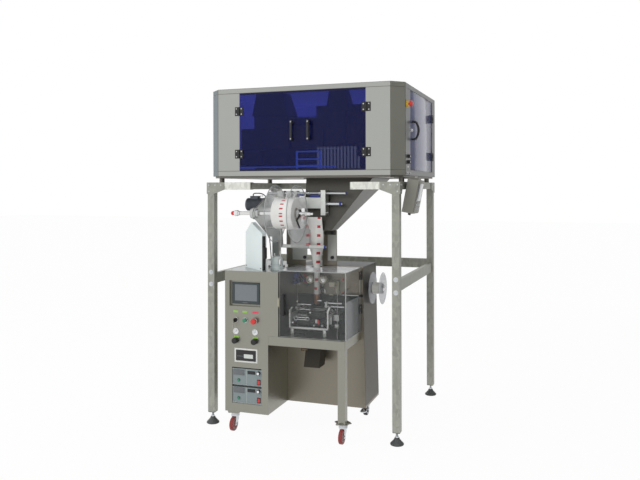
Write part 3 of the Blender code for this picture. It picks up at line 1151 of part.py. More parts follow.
def thread_reel():
    """The reel on the cabinet's side: a shaft in the wall, a white hub and two clear discs."""
    wall_x = CABINET_RIGHT + CABINET_SPREAD * (CABINET_TOP - THREAD_Z) / (CABINET_TOP - BASE_BOTTOM)
    near, far = wall_x + 0.020, wall_x + 0.020 + THREAD_WIDTH
    profile = ((0.008, wall_x - 0.020), (0.008, wall_x + 0.008), (0.016, wall_x + 0.008), (0.016, near),
               (THREAD_RADIUS, near), (THREAD_RADIUS, near + 0.003), (0.040, near + 0.003),
               (0.040, far - 0.003),
               (THREAD_RADIUS, far - 0.003), (THREAD_RADIUS, far), (0.014, far), (0.014, far + 0.012))
    piece("thread_reel", "white_plastic", [turned(profile, (0, THREAD_Y, THREAD_Z), "x", 24)],
          joint=(wall_x, THREAD_Y, THREAD_Z))


def terminal_box():
    """The weigher's terminal, hung tilted from a strap under the hood floor."""
    x = TERMINAL_X
    y0, y1 = TERMINAL_Y
    z0, z1 = TERMINAL_Z
    box = turn_shape(block(x, x + TERMINAL_THICK, y0, y1, z0, z1), TERMINAL_TILT, "Y", (x + 0.030, 0, z1))
    under = HOOD_BOTTOM - FLOOR_THICK - 2 * GAP
    strap = block(x - 0.105, x + 0.062, y0 + 0.050, y0 + 0.130, under - 0.005, under)
    neck = block(x + 0.020, x + 0.062, y0 + 0.050, y0 + 0.130, z1 - 0.020, under - 0.001)
    wall, middle = SHEET, (y0 + y1) / 2
    inside = [block(x + wall, x + TERMINAL_THICK - wall, y0 + wall, y1 - wall, z0 + wall, z1 - 0.030),
              block(x + 0.020, x + 0.050, middle - 0.020, middle + 0.020, z0 - 0.01, z0 + 0.01)]
    inside = [turn_shape(shape, TERMINAL_TILT, "Y", (x + 0.030, 0, z1)) for shape in inside]
    piece("terminal_box", "grey_enamel", [box, neck, strap], inside)


def sealing_station():
    jaw_frame()
    jaws()
    pull_rollers()
    seal_guard()


def settle():
    """Moves the whole machine so that the world origin is the middle of its underside."""
    bpy.context.view_layer.update()
    corners = [obj.matrix_world @ Vector(corner) for obj in PIECES for corner in obj.bound_box]
    lowest = [min(c[i] for c in corners) for i in range(3)]
    highest = [max(c[i] for c in corners) for i in range(3)]
    root = bpy.data.objects.new("machine", None)
    bpy.context.scene.collection.objects.link(root)
    for obj in PIECES:
        if obj.parent is None:
            obj.parent = root
    root.location = (-(lowest[0] + highest[0]) / 2, -(lowest[1] + highest[1]) / 2, -lowest[2])
    bpy.context.view_layer.update()


def main():
    for obj in list(bpy.data.objects):
        bpy.data.objects.remove(obj)
    support_frame()
    weigher_hood()
    product_path()
    base_machine()
    operator_panel()
    generators()
    castors()
    film_unwind()
    sealing_station()
    thread_reel()
    terminal_box()
    settle()


main()
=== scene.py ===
"""Looks of the vertical form fill sealer: its finishes, fittings, glazing and film, and the pieces seen
through the guard and the hood's windows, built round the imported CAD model.

Places are in metres in the machine's own measures: x from the middle of the leg frame, y from the front
face of its posts, z from the floor. ORIGIN carries them to the model's frame.
"""

from math import cos, pi, radians, sin

import bmesh
import bpy
from mathutils import Matrix, Vector


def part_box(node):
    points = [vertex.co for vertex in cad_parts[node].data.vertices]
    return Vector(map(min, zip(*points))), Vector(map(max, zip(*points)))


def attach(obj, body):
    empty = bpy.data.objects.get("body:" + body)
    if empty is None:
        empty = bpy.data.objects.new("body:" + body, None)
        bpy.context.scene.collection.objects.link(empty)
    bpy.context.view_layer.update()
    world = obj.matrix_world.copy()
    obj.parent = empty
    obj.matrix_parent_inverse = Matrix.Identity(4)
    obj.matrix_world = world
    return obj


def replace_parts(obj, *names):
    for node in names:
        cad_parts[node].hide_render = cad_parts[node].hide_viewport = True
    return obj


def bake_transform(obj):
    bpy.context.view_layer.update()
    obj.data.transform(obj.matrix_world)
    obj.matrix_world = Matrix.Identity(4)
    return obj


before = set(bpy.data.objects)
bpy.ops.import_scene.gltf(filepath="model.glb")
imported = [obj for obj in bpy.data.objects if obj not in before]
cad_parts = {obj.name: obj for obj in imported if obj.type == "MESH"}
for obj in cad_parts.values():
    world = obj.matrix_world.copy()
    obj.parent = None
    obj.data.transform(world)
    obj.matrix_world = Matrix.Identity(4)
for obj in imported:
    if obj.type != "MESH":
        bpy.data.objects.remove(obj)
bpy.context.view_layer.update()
GUSSET = 0.005
ORIGIN = Vector(((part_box("side_frame_left")[0].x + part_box("side_frame_right")[1].x) / 2,
                 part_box("side_frame_left")[0].y + GUSSET, 0))
SKIN = 0.0006  # how far a cover or a label stands off the surface that carries it


def span(node):
    """The lowest and highest corners of a CAD node, in the machine's measures."""
    low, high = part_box(node)
    return low - ORIGIN, high - ORIGIN


# ---- materials ----

ROLL_RADIUS = 0.1
MARK_RED, MARK_SHARE = (0.55, 0.02, 0.03, 1), 0.3  # the film's marks, and their share of the pitch
MARK_LEAD = 50.0  # keeps the count of marks above zero everywhere


def add_node(tree, kind, inputs=None, **settings):
    """Adds a shader node. An input is linked if it is given a socket, and set if it is given a value."""
    node = tree.nodes.new("ShaderNode" + kind)
    for name, value in settings.items():
        setattr(node, name, value)
    for name, value in (inputs or {}).items():
        if isinstance(value, bpy.types.NodeSocket):
            tree.links.new(value, node.inputs[name])
        else:
            node.inputs[name].default_value = value
    return node


def calc(tree, operation, *values, **settings):
    """The result of a sum on sockets or numbers."""
    return add_node(tree, "Math", dict(enumerate(values)), operation=operation, **settings).outputs[0]


def texture_space(tree, stretch):
    """The object's own coordinates, stretched along each axis."""
    place = add_node(tree, "TexCoord").outputs["Object"]
    return add_node(tree, "Mapping", {"Scale": stretch, "Vector": place}).outputs["Vector"]


def spread(tree, value, low, high):
    """A 0 to 1 value spread between two others."""
    return add_node(tree, "MapRange", {"To Min": low, "To Max": high, "Value": value}).outputs["Result"]


def noise(tree, space, scale, detail=3.0):
    """A soft noise of 0 to 1."""
    return add_node(tree, "TexNoise", {"Scale": scale, "Detail": detail, "Vector": space}).outputs["Fac"]


def blend_colours(tree, factor, dark, light):
    """A colour that goes from dark to light with a factor."""
    ends = {"Factor": factor, "A": dark, "B": light}
    return add_node(tree, "Mix", ends, data_type="RGBA").outputs["Result"]


def tinted(colour, down, up):
    """Two shades of a colour, the lighter one kept within white."""
    return (*(c * down for c in colour), 1), (*(min(1, c * up) for c in colour), 1)


def finish(name, colour, roughness, metallic=0.0, grain=120.0, stretch=(1, 1, 1), tint=0.06, polish=0.06,
           relief=0.0002, edge=0.0012, patches=4.0, **sockets):
    """A finish whose colour, gloss and height vary with a stretched grain and with broad soft patches."""
    material = bpy.data.materials.new(name)
    material.use_nodes = True
    tree = material.node_tree
    shader = tree.nodes["Principled BSDF"]
    fine = noise(tree, texture_space(tree, stretch), grain)
    broad = noise(tree, texture_space(tree, (1, 1, 1)), patches, 2.0)
    both = calc(tree, "MULTIPLY_ADD", fine, 0.5, spread(tree, broad, 0, 0.5))
    shades = blend_colours(tree, both, *tinted(colour, 1 - tint, 1 + tint))
    tree.links.new(shades, shader.inputs["Base Color"])
    gloss = spread(tree, both, roughness - polish, roughness + polish)
    tree.links.new(gloss, shader.inputs["Roughness"])
    bump = add_node(tree, "Bump", {"Distance": relief, "Strength": 0.5, "Height": fine})
    if edge:
        bevel = add_node(tree, "Bevel", {"Radius": edge}, samples=4)
        tree.links.new(bevel.outputs["Normal"], bump.inputs["Normal"])
    tree.links.new(bump.outputs["Normal"], shader.inputs["Normal"])
    for socket, value in {"Metallic": metallic, **sockets}.items():
        shader.inputs[socket].default_value = value
    return material


def galvanised(name, colour):
    """Zinc spangle: small cells, each a little lighter or glossier than the next."""
    material = finish(name, colour, 0.42, 0.85, grain=300, relief=0.0001)
    tree = material.node_tree
    shader = tree.nodes["Principled BSDF"]
    cells = add_node(tree, "TexVoronoi", {"Scale": 55, "Vector": texture_space(tree, (1, 1, 0.6))})
    grey = add_node(tree, "RGBToBW", {"Color": cells.outputs["Color"]}).outputs["Val"]
    shades = blend_colours(tree, grey, *tinted(colour, 0.8, 1.22))
    tree.links.new(shades, shader.inputs["Base Color"])
    tree.links.new(spread(tree, grey, 0.36, 0.56), shader.inputs["Roughness"])
    return material


def printed_film(name, column, pitch, half_width, centre=None, slope=0.0, phase=0.0,
                 colour=(0.92, 0.91, 0.88), **sockets):
    """White film with a column of plain red marks at column + slope * z across it. Pitch is their spacing
    up the film, or round the roll whose centre (y, z) is given."""
    material = finish(name, colour, 0.3, grain=90, relief=0.0004, edge=0, **{"Coat Weight": 0.3, **sockets})
    tree = material.node_tree
    base = tree.nodes["Principled BSDF"].inputs["Base Color"]
    split = add_node(tree, "SeparateXYZ", {"Vector": add_node(tree, "TexCoord").outputs["Object"]})
    x, y, z = split.outputs
    off = calc(tree, "SUBTRACT", calc(tree, "SUBTRACT", x, column), calc(tree, "MULTIPLY", z, slope))
    across = calc(tree, "LESS_THAN", calc(tree, "ABSOLUTE", off), half_width)
    if centre is None:
        along = calc(tree, "DIVIDE", z, pitch)
    else:
        angle = calc(tree, "ARCTAN2", calc(tree, "SUBTRACT", z, centre[1]),
                     calc(tree, "SUBTRACT", y, centre[0]))
        along = calc(tree, "MULTIPLY", angle, ROLL_RADIUS / pitch)
    part = calc(tree, "FRACT", calc(tree, "ADD", along, MARK_LEAD + phase))
    mark = calc(tree, "MULTIPLY", across, calc(tree, "LESS_THAN", part, MARK_SHARE))
    white = base.links[0].from_socket
    tree.links.new(blend_colours(tree, mark, white, MARK_RED), base)
    return material


def lit(name, colour, strength):
    """A faintly glowing display."""
    glow = {"Emission Color": (*colour, 1), "Emission Strength": strength}
    return finish(name, colour, 0.25, edge=0, relief=0, **glow)


ACROSS = {"grain": 700, "stretch": (0.03, 0.03, 1), "tint": 0.05}  # brushed from side to side
UPRIGHT = {"grain": 700, "stretch": (1, 1, 0.03), "tint": 0.05}  # brushed up and down
CLEAR = {"polish": 0.02, "relief": 0, "edge": 0}
LOOKS, SLOTS = {}, {}


def looks(slot, *materials):
    """Files materials by name, and notes a slot for each in SLOTS."""
    for material in materials:
        LOOKS[material.name] = material
        SLOTS[material.name] = slot


looks("brushed_stainless",
      finish("hood_steel", (0.415, 0.425, 0.4), 0.36, 0.9, **ACROSS),
      # The next three looks are darker copies of the hood steel: painted shade on the hood's right chamfer,
      # on its right wall and, with a blue cast, on its left chamfer.
      finish("hood_chamfer_painted_shade", (0.36, 0.36, 0.32), 0.36, 0.8, **ACROSS),
      finish("hood_side_painted_shade", (0.15, 0.153, 0.156), 0.36, 0.8, **ACROSS),
      finish("hood_blue_painted_shade", (0.165, 0.2, 0.222), 0.36, 0.8, **ACROSS),
      finish("cabinet_steel", (0.305, 0.302, 0.262), 0.34, 0.9, **UPRIGHT),
      finish("cabinet_warm", (0.244, 0.222, 0.18), 0.36, 0.9, **UPRIGHT),
      # These two are darker copies of the cabinet steel: painted shade on the rear cabinet's side and on its
      # top.
      finish("cabinet_side_painted_shade", (0.085, 0.079, 0.062), 0.42, 0.8, grain=700, stretch=(1, 1, 0.03), tint=0.06),
      finish("cabinet_top", (0.118, 0.12, 0.13), 0.46, 0.6, grain=700, stretch=(1, 0.03, 1), tint=0.06),
      # A lighter copy of the column's steel: painted highlight on its top.
      finish("column_top_painted_highlight", (0.52, 0.54, 0.54), 0.36, 0.8, grain=700, stretch=(1, 0.03, 1), tint=0.05),
      finish("plate_light", (0.48, 0.49, 0.46), 0.36, 0.5, grain=500, stretch=(1, 1, 0.05), tint=0.05),
      # Glows though it is no lamp: painted light for the lit inside of the hood seen through the windows.
      finish("painted_glow_backing", (0.06, 0.075, 0.42), 0.45, grain=6, tint=0.25, relief=0, edge=0, patches=2.0,
             **{"Emission Color": (0.08, 0.1, 0.62, 1), "Emission Strength": 0.8}),
      finish("floor_steel", (0.2, 0.19, 0.17), 0.42, 1.0, grain=300, tint=0.1),
      finish("funnel_steel", (0.105, 0.102, 0.09), 0.38, 0.9, grain=500, stretch=(1, 1, 0.05), tint=0.08))
looks("dark_stainless",
      # Near-black: painted shade for the parts seen inside the hood.
      finish("inner_painted_shade", (0.03, 0.032, 0.048), 0.5, 0.2, grain=60, tint=0.2),
      finish("chute_dark", (0.04, 0.035, 0.026), 0.4, 0.5, grain=200, tint=0.15))
looks("frame_steel",
      galvanised("spangle", (0.355, 0.362, 0.318)),
      # A much lighter copy of the spangle: painted highlight.
      galvanised("spangle_painted_highlight", (0.76, 0.77, 0.71)))
looks("machined_aluminium",
      finish("aluminium", (0.52, 0.53, 0.52), 0.34, 0.9, grain=600, stretch=(0.05, 1, 1), tint=0.04),
      finish("frame_bright", (0.8, 0.82, 0.79), 0.34, 0.6, grain=600, stretch=(0.05, 1, 1), tint=0.05),
      finish("cover_white", (0.8, 0.88, 0.88), 0.42, grain=500, tint=0.04),
      # The blue rails glow though they are no lamp: painted light.
      finish("rail_blue_painted_glow", (0.07, 0.1, 0.62), 0.4, grain=30, tint=0.2, edge=0,
             **{"Emission Color": (0.06, 0.14, 0.85, 1), "Emission Strength": 0.9}),
      # The grey slats glow though they are no lamp: painted light.
      finish("slat_grey_painted_glow", (0.16, 0.18, 0.24), 0.5, grain=60, tint=0.3, edge=0,
             **{"Emission Color": (0.24, 0.27, 0.42, 1), "Emission Strength": 0.7}))
looks("zinc_plate",
      finish("zinc", (0.62, 0.64, 0.66), 0.3, 1.0, grain=400, tint=0.08),
      finish("bright_steel", (0.72, 0.72, 0.71), 0.16, 1.0, grain=900, stretch=(0.05, 1, 1)),
      finish("hub_grey", (0.35, 0.3, 0.29), 0.45, grain=300, tint=0.1))
looks("chromed_steel",
      finish("chrome", (0.8, 0.8, 0.81), 0.1, 1.0, grain=500, tint=0.02, polish=0.02),
      finish("brass_dark", (0.16, 0.12, 0.07), 0.4, 0.8, grain=300, tint=0.1))
looks("black_plastic",
      finish("black", (0.018, 0.018, 0.019), 0.42, grain=900, relief=0.0002),
      finish("blue_cap", (0.03, 0.05, 0.3), 0.35, grain=400),
      finish("motor_grey", (0.1, 0.11, 0.13), 0.5, 0.3, grain=500, tint=0.1),
      finish("screen_glass", (0.17, 0.195, 0.215), 0.12, grain=60, tint=0.1, edge=0, **{"Coat Weight": 0.6}),
      finish("screen_frame", (0.045, 0.06, 0.065), 0.35, grain=900),
      finish("meter", (0.13, 0.14, 0.15), 0.2, grain=120, tint=0.12, **{"Coat Weight": 0.6}),
      finish("station_dark", (0.028, 0.031, 0.03), 0.3, 0.6, grain=200, tint=0.2))
looks("black_rubber",
      finish("rubber", (0.022, 0.021, 0.021), 0.72, grain=600, relief=0.0004),
      finish("foot_grey", (0.085, 0.09, 0.092), 0.5, grain=600, relief=0.0004, tint=0.12),
      finish("wire_blue", (0.05, 0.07, 0.4), 0.4, grain=300),
      finish("green_wire", (0.03, 0.2, 0.06), 0.4, grain=300))
looks("red_plastic",
      finish("red", (0.7, 0.025, 0.02), 0.3, grain=500, **{"Coat Weight": 0.4}),
      finish("yellow", (0.85, 0.55, 0.02), 0.4, grain=500),
      finish("label_red", (0.8, 0.06, 0.12), 0.45, grain=500, edge=0))
looks("green_plastic",
      finish("green", (0.02, 0.26, 0.14), 0.3, grain=500, **{"Coat Weight": 0.4}),
      finish("label_green", (0.3, 0.62, 0.07), 0.45, grain=500, edge=0))
looks("white_plastic",
      finish("white", (0.78, 0.79, 0.76), 0.4, grain=400),
      finish("dial_face", (0.8, 0.82, 0.84), 0.3, grain=300, tint=0.02, edge=0),
      lit("lcd", (0.62, 0.66, 0.64), 0.12),
      finish("thread_white", (0.93, 0.91, 0.84), 0.55, grain=300, tint=0.08),
      finish("cream", (0.66, 0.63, 0.48), 0.45, grain=300, tint=0.05))
looks("castor_red",
      finish("castor_tread", (0.3, 0.045, 0.04), 0.45, grain=250, tint=0.15))
looks("grey_enamel",
      finish("box_grey", (0.3, 0.295, 0.26), 0.45, 0.4, grain=500, tint=0.05),
      finish("unit_blue", (0.26, 0.31, 0.32), 0.5, grain=700, tint=0.04))
looks("blue_acrylic",
      finish("window_blue", (0.003, 0.006, 0.075), 0.08, grain=3, tint=0.08, **CLEAR, Alpha=0.55,
             **{"Specular IOR Level": 0.25}),
      finish("window_lilac", (0.125, 0.14, 0.25), 0.12, grain=3, tint=0.05, **CLEAR, Alpha=0.84))
looks("clear_acrylic",
      finish("guard_clear", (0.2, 0.21, 0.21), 0.06, grain=3, tint=0.02, **CLEAR, Alpha=0.16),
      # Greyer and less clear than the rest of the guard, on the side pane's lower part.
      finish("guard_side_greyer", (0.165, 0.18, 0.2), 0.1, grain=14, tint=0.2, **CLEAR, Alpha=0.72),
      # Much lighter and less clear than the guard's other panes: painted sheen on the lid.
      finish("guard_lid", (0.62, 0.64, 0.68), 0.12, grain=14, tint=0.12, polish=0.04, relief=0, edge=0,
             Alpha=0.62),
      finish("guard_edge", (0.38, 0.4, 0.39), 0.2, grain=50, tint=0.03, relief=0, edge=0),
      finish("disc_clear", (0.86, 0.88, 0.9), 0.12, grain=20, tint=0.02, relief=0, edge=0, Alpha=0.17),
      finish("thread_disc", (0.7, 0.73, 0.8), 0.15, grain=20, tint=0.05, relief=0, edge=0, Alpha=0.5))
looks("film",
      finish("film_plain", (0.86, 0.86, 0.84), 0.28, grain=60, relief=0.0004, edge=0,
             **{"Coat Weight": 0.3, "Transmission Weight": 0.15}),
      printed_film("film_print", -0.0495, 0.0615, 0.011, slope=0.106, phase=0.687),
      # The length round the dancer is greyer than the web: painted shade.
      printed_film("film_lead_print", -0.013, 0.0615, 0.012, phase=0.646, colour=(0.58, 0.59, 0.59),
                   Alpha=0.55),
      printed_film("film_roll_print", -0.06, 0.034, 0.012, centre=(-0.08, 1.475)),
      finish("cardboard", (0.42, 0.33, 0.22), 0.75, grain=300, tint=0.1),
      finish("copper", (0.42, 0.2, 0.1), 0.45, 0.6, grain=300, tint=0.12))

NODE_LOOKS = {  # CAD nodes by the start of their name; the longest match counts
    "side_frame": "spangle", "rear_frame": "spangle", "levelling_foot": "rubber",
    # The hood shell takes the darker floor steel so that the seams between the hood's covers show painted
    # shade.
    "hood_shell": "floor_steel", "hood_floor": "floor_steel", "hood_emergency_stop": "red",
    "front_door": "window_blue", "door_handle": "black", "side_door": "window_lilac",
    # The weigher inside the hood is drawn near-black as painted shade.
    "weigher_body": "inner_painted_shade", "hopper_gate": "aluminium", "discharge_funnel": "funnel_steel",
    "forming_tube": "bright_steel", "film_web": "film_plain",
    "control_column": "cabinet_steel", "rear_cabinet": "cabinet_warm", "work_table": "cabinet_steel",
    "operator_screen": "screen_frame", "key_switch": "bright_steel", "start_button": "green",
    "emergency_stop": "red", "regulator_knob": "black", "generator_knob": "black", "generator_": "unit_blue",
    "power_rocker": "red", "castor_fork": "zinc", "castor_wheel": "castor_tread",
    "unwind_stand": "aluminium", "unwind_motor": "motor_grey", "reel_spindle": "disc_clear",
    "film_roll": "film_plain", "dancer_arm": "aluminium", "dancer_roller": "chrome",
    "drive_cover": "cover_white", "coder_drum": "aluminium", "jaw_frame": "aluminium",
    "jaw_front": "bright_steel", "jaw_rear": "bright_steel", "pull_roller": "rubber",
    "seal_guard": "guard_clear", "thread_reel": "white",
    "terminal_box": "box_grey",
}


def dress_cad():
    """Gives every CAD node its finish."""
    for name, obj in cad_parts.items():
        start = max((key for key in NODE_LOOKS if name.startswith(key)), key=len)
        obj.data.materials.clear()
        obj.data.materials.append(LOOKS[NODE_LOOKS[start]])


# ---- shapes ----

SHARP = 32  # edges steeper than this, in degrees, stay sharp
AXES = {"x": Vector((1, 0, 0)), "y": Vector((0, 1, 0)), "z": Vector((0, 0, 1))}


def circle(axis, sides):
    """Directions evenly spaced round an axis."""
    across = AXES["x" if axis == "z" else "z"]
    third = AXES[axis].cross(across)
    return [across * cos(a) + third * sin(a) for a in (2 * pi * i / sides for i in range(sides))]


def mesh_data(name, mesh, material):
    """Turns a mesh being built into data of one material."""
    data = bpy.data.meshes.new(name)
    mesh.to_mesh(data)
    mesh.free()
    data.materials.append(material)
    return data


def linked(name, data, location=(0, 0, 0)):
    """A new object in the scene."""
    obj = bpy.data.objects.new(name, data)
    obj.location = location
    bpy.context.scene.collection.objects.link(obj)
    return obj


def placed(name, data, body):
    """An object drawn in the machine's measures that rides on a body."""
    obj = linked(name, data, ORIGIN)
    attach(obj, body)
    return obj


class Shape:
    """A mesh being built. Each call adds one closed form to it."""

    def __init__(self):
        self.mesh = bmesh.new()

    def loops(self, rings, closed=False):
        """Skins rings of points that match one to one, then joins or caps the first and the last."""
        made = [[self.mesh.verts.new(point) for point in ring] for ring in rings]
        for low, high in zip(made, made[1:] + made[:1] * closed):
            for i in range(len(low)):
                j = (i + 1) % len(low)
                self.mesh.faces.new((low[i], low[j], high[j], high[i]))
        if not closed:
            self.mesh.faces.new(made[0])
            self.mesh.faces.new(made[-1])
        return [v for ring in made for v in ring]

    def box(self, low, high, round_by=0.0, steps=2, turn=None):
        """A block between two corners, its edges rounded, then turned by (angle, axis, centre)."""
        (x0, y0, z0), (x1, y1, z1) = low, high
        ring = ((x0, y0), (x1, y0), (x1, y1), (x0, y1))
        made = self.loops([[(x, y, z) for x, y in ring] for z in (z0, z1)])
        return self.softened(made, round_by, steps, turn)

    def boxes(self, *corners):
        """Blocks, each given by its two corners and how far its edges are rounded."""
        for low, high, round_by in corners:
            self.box(low, high, round_by)

    def prism(self, outline, axis, start, end, round_by=0.0, steps=2, turn=None):
        """An outline swept along x (of y, z points), y (x, z) or z (x, y)."""
        at = "xyz".index(axis)
        rings = [[(*p[:at], t, *p[at:]) for p in outline] for t in (start, end)]
        return self.softened(self.loops(rings), round_by, steps, turn)

    def softened(self, verts, round_by=0.0, steps=2, turn=None):
        """Rounds a form's edges, then turns it by (angle, axis, centre)."""
        if round_by:
            edges = {edge for v in verts for edge in v.link_edges}
            made = bmesh.ops.bevel(self.mesh, geom=list(edges), offset=round_by, segments=steps,
                                   affect="EDGES", profile=0.5, clamp_overlap=True)
            verts = list(set(made["verts"]) | {v for v in verts if v.is_valid})
        if turn:
            angle, axis, centre = turn
            bmesh.ops.rotate(self.mesh, verts=verts, cent=centre, matrix=Matrix.Rotation(angle, 3, axis))
        return verts

    def turned(self, profile, centre, axis="z", sides=32):
        """A profile of (radius, height) points turned about an axis through centre."""
        around = circle(axis, sides)
        return self.loops([[Vector(centre) + AXES[axis] * h + p * r for p in around] for r, h in profile])

    def hoop(self, profile, centre, axis="z", sides=32):
        """A closed profile of (radius, height) points turned about an axis, open in the middle."""
        self.loops([[Vector(centre) + AXES[axis] * h + p * r for r, h in profile]
                    for p in circle(axis, sides)], closed=True)

    def knurled(self, rings, first, second, sides, dip):
        """A grip skinned over rings of (centre, radius), every other point of them a little deeper."""
        points = enumerate(2 * pi * i / sides for i in range(sides))
        around = [(first * cos(a) + second * sin(a), dip * (i % 2)) for i, a in points]
        self.loops([[Vector(centre) + p * (r - low) for p, low in around] for centre, r in rings])

    def rod(self, start, end, radius, sides=20, chamfer=0.0):
        """A round bar along an axis, its ends chamfered."""
        axis = next(name for name, a, b in zip("xyz", start, end) if abs(a - b) > 1e-9)
        length = sum(b - a for a, b in zip(start, end))
        c = chamfer if length > 0 else -chamfer
        profile = [(radius, 0), (radius, length)]
        if chamfer:
            profile = [(radius - chamfer, 0), (radius, c), (radius, length - c), (radius - chamfer, length)]
        return self.turned(profile, start, axis, sides)

    def screw(self, centre, axis, out, radius=0.005, height=0.003):
        """A socket screw's head on a surface: out is +1 or -1 along the axis."""
        self.turned([(radius, -out * 0.001), (radius, out * height * 0.8), (radius * 0.86, out * height),
                     (radius * 0.5, out * height), (radius * 0.5, out * height * 0.35)], centre, axis, 16)

    def hexagon(self, centre, axis, out, radius=0.008, height=0.006):
        """A hexagon head with its washer."""
        self.turned([(radius * 1.35, -out * 0.001), (radius * 1.35, out * 0.0015)], centre, axis, 20)
        self.turned([(radius, out * 0.001), (radius, out * height * 0.85), (radius * 0.85, out * height)],
                    centre, axis, 6)

    def done(self, name, look, body="machine", slot=None):
        """Links the mesh as a piece that rides on a body, in a finish. The slot argument is not used."""
        bmesh.ops.recalc_face_normals(self.mesh, faces=self.mesh.faces)
        data = mesh_data(name, self.mesh, LOOKS[look])
        data.shade_smooth()
        data.set_sharp_from_angle(angle=radians(SHARP))
        return placed(name, data, body)


def swept(name, points, radius, look="black", body="machine"):
    """A round wire or rod along a smooth curve through the points."""
    curve = bpy.data.curves.new(name, "CURVE")
    curve.dimensions = "3D"
    curve.bevel_depth = radius
    curve.bevel_resolution = 4
    curve.use_fill_caps = True
    spline = curve.splines.new("BEZIER")
    spline.bezier_points.add(len(points) - 1)
    for point, place in zip(spline.bezier_points, points):
        point.co = place
        point.handle_left_type = point.handle_right_type = "AUTO"
    curve.materials.append(LOOKS[look])
    return placed(name, curve, body)


# ---- hood ----

HOOD = span("hood_shell")
DOOR = span("front_door_right")
HOOD_X = -HOOD[0].x  # outside of the right wall
HOOD_FRONT = DOOR[1].y - 0.0053  # outside of the front wall
HOOD_BACK = HOOD[1].y
HOOD_LOW, HOOD_HIGH = HOOD[0].z, HOOD[1].z
DOOR_LOW, DOOR_HIGH = DOOR[0].z, DOOR[1].z
OPENING = HOOD_X - 0.246  # half the width of the front opening
SIDE_OPENING = (span("side_door")[0].y - 0.001, HOOD_BACK - 0.114)  # its front and back
CHAMFER = 0.079  # of the upright front corners
# Through each seam the darker hood shell shows as painted shade.
SEAM = 0.0034  # between neighbouring covers
STAND = 0.0012  # thickness of a cover
GAP = 0.001  # between the bands of steel and the doors
HINGE_Z = (DOOR_LOW + 0.117, DOOR_HIGH - 0.125)
HINGE_AXIS = {-1: (-OPENING - 0.005, HOOD_FRONT - 0.005), 1: (OPENING + 0.005, HOOD_FRONT - 0.005)}
SIDE_AXIS = (HOOD_X + 0.005, SIDE_OPENING[1] + 0.005)
LEAF_HIGH = 0.061
LEAF_SCREW = 0.0185  # from the middle of a hinge, both ways


def wall_plate(shape, start, end, low, high):
    """A cover on a wall of the hood from start to end in plan, the wall's outside on its right."""
    start, end = Vector(start), Vector(end)
    along = (end - start).normalized()
    out = Vector((along.y, -along.x)) * STAND
    start, end = start + along * SEAM / 2, end - along * SEAM / 2
    shape.prism([start[:], end[:], (end + out)[:], (start + out)[:]], "z", low + SEAM / 2, high - SEAM / 2)


def hood_covers():
    """Steel covers on the hood's walls, its lid and their screws."""
    x, front, back = HOOD_X, HOOD_FRONT, HOOD_BACK
    left_front, right_front = (-x + CHAMFER, front), (x - CHAMFER, front)
    right_side, left_side = (x, front + CHAMFER), (-x, front + CHAMFER)
    right_back, left_back = (x, back), (-x, back)
    middle_back, middle_left = (0, back), (-x, (front + back) / 2)
    corners = [left_front, right_front, right_side, right_back, left_back, left_side]
    rear_walls = [(right_back, middle_back), (middle_back, left_back), (left_back, middle_left),
                  (middle_left, left_side)]
    beside_doors = [(left_front, (-OPENING, front)), ((OPENING, front), right_front)]
    beside_side_door = [(right_side, (x, SIDE_OPENING[0])), ((x, SIDE_OPENING[1]), right_back)]
    groups = {
        "front": ("hood_steel", beside_doors, [(left_front, right_front)]),
        # The chamfers and the right wall take the darker copies of the hood steel: painted shade.
        "chamfer_right": ("hood_chamfer_painted_shade", [(right_front, right_side)], [(right_front, right_side)]),
        "right": ("hood_side_painted_shade", beside_side_door, [(right_side, right_back)]),
        "chamfer_left": ("hood_blue_painted_shade", [(left_side, left_front)], [(left_side, left_front)]),
        "rear": ("hood_steel", rear_walls, rear_walls),
    }
    for name, (look, uprights, bands) in groups.items():
        shape = Shape()
        for start, end in bands:
            wall_plate(shape, start, end, HOOD_LOW, DOOR_LOW - GAP)
            wall_plate(shape, start, end, DOOR_HIGH + GAP, HOOD_HIGH)
        for start, end in uprights:
            wall_plate(shape, start, end, DOOR_LOW - GAP, DOOR_HIGH + GAP)
        shape.done("hood_cover_" + name, look)
    lid = Shape()
    lid.prism([(px * 0.997, front + (py - front) * 0.997 + 0.002) for px, py in corners], "z", HOOD_HIGH,
              HOOD_HIGH + STAND)
    lid.done("hood_lid", "hood_steel")
    screws = Shape()
    for z in (HOOD_LOW + 0.02, HOOD_HIGH - 0.016):
        for px in (-0.6, -0.3, -0.08, 0.08, 0.3, 0.6):
            screws.screw((px, back + STAND, z), "y", 1, 0.006)
        for py in (0.2, 0.45, 0.75, 1.05):
            screws.screw((-x - STAND, py, z), "x", -1, 0.006)
    for py in (0.165, 0.245):
        screws.hexagon((x + STAND, py, HOOD_LOW + 0.015), "x", 1, 0.006, 0.005)
    for px in (-0.45, 0, 0.45):
        for py in (0.12, 1.1):
            screws.screw((px, py, HOOD_HIGH + STAND), "z", 1, 0.006)
    screws.done("hood_screws", "bright_steel")


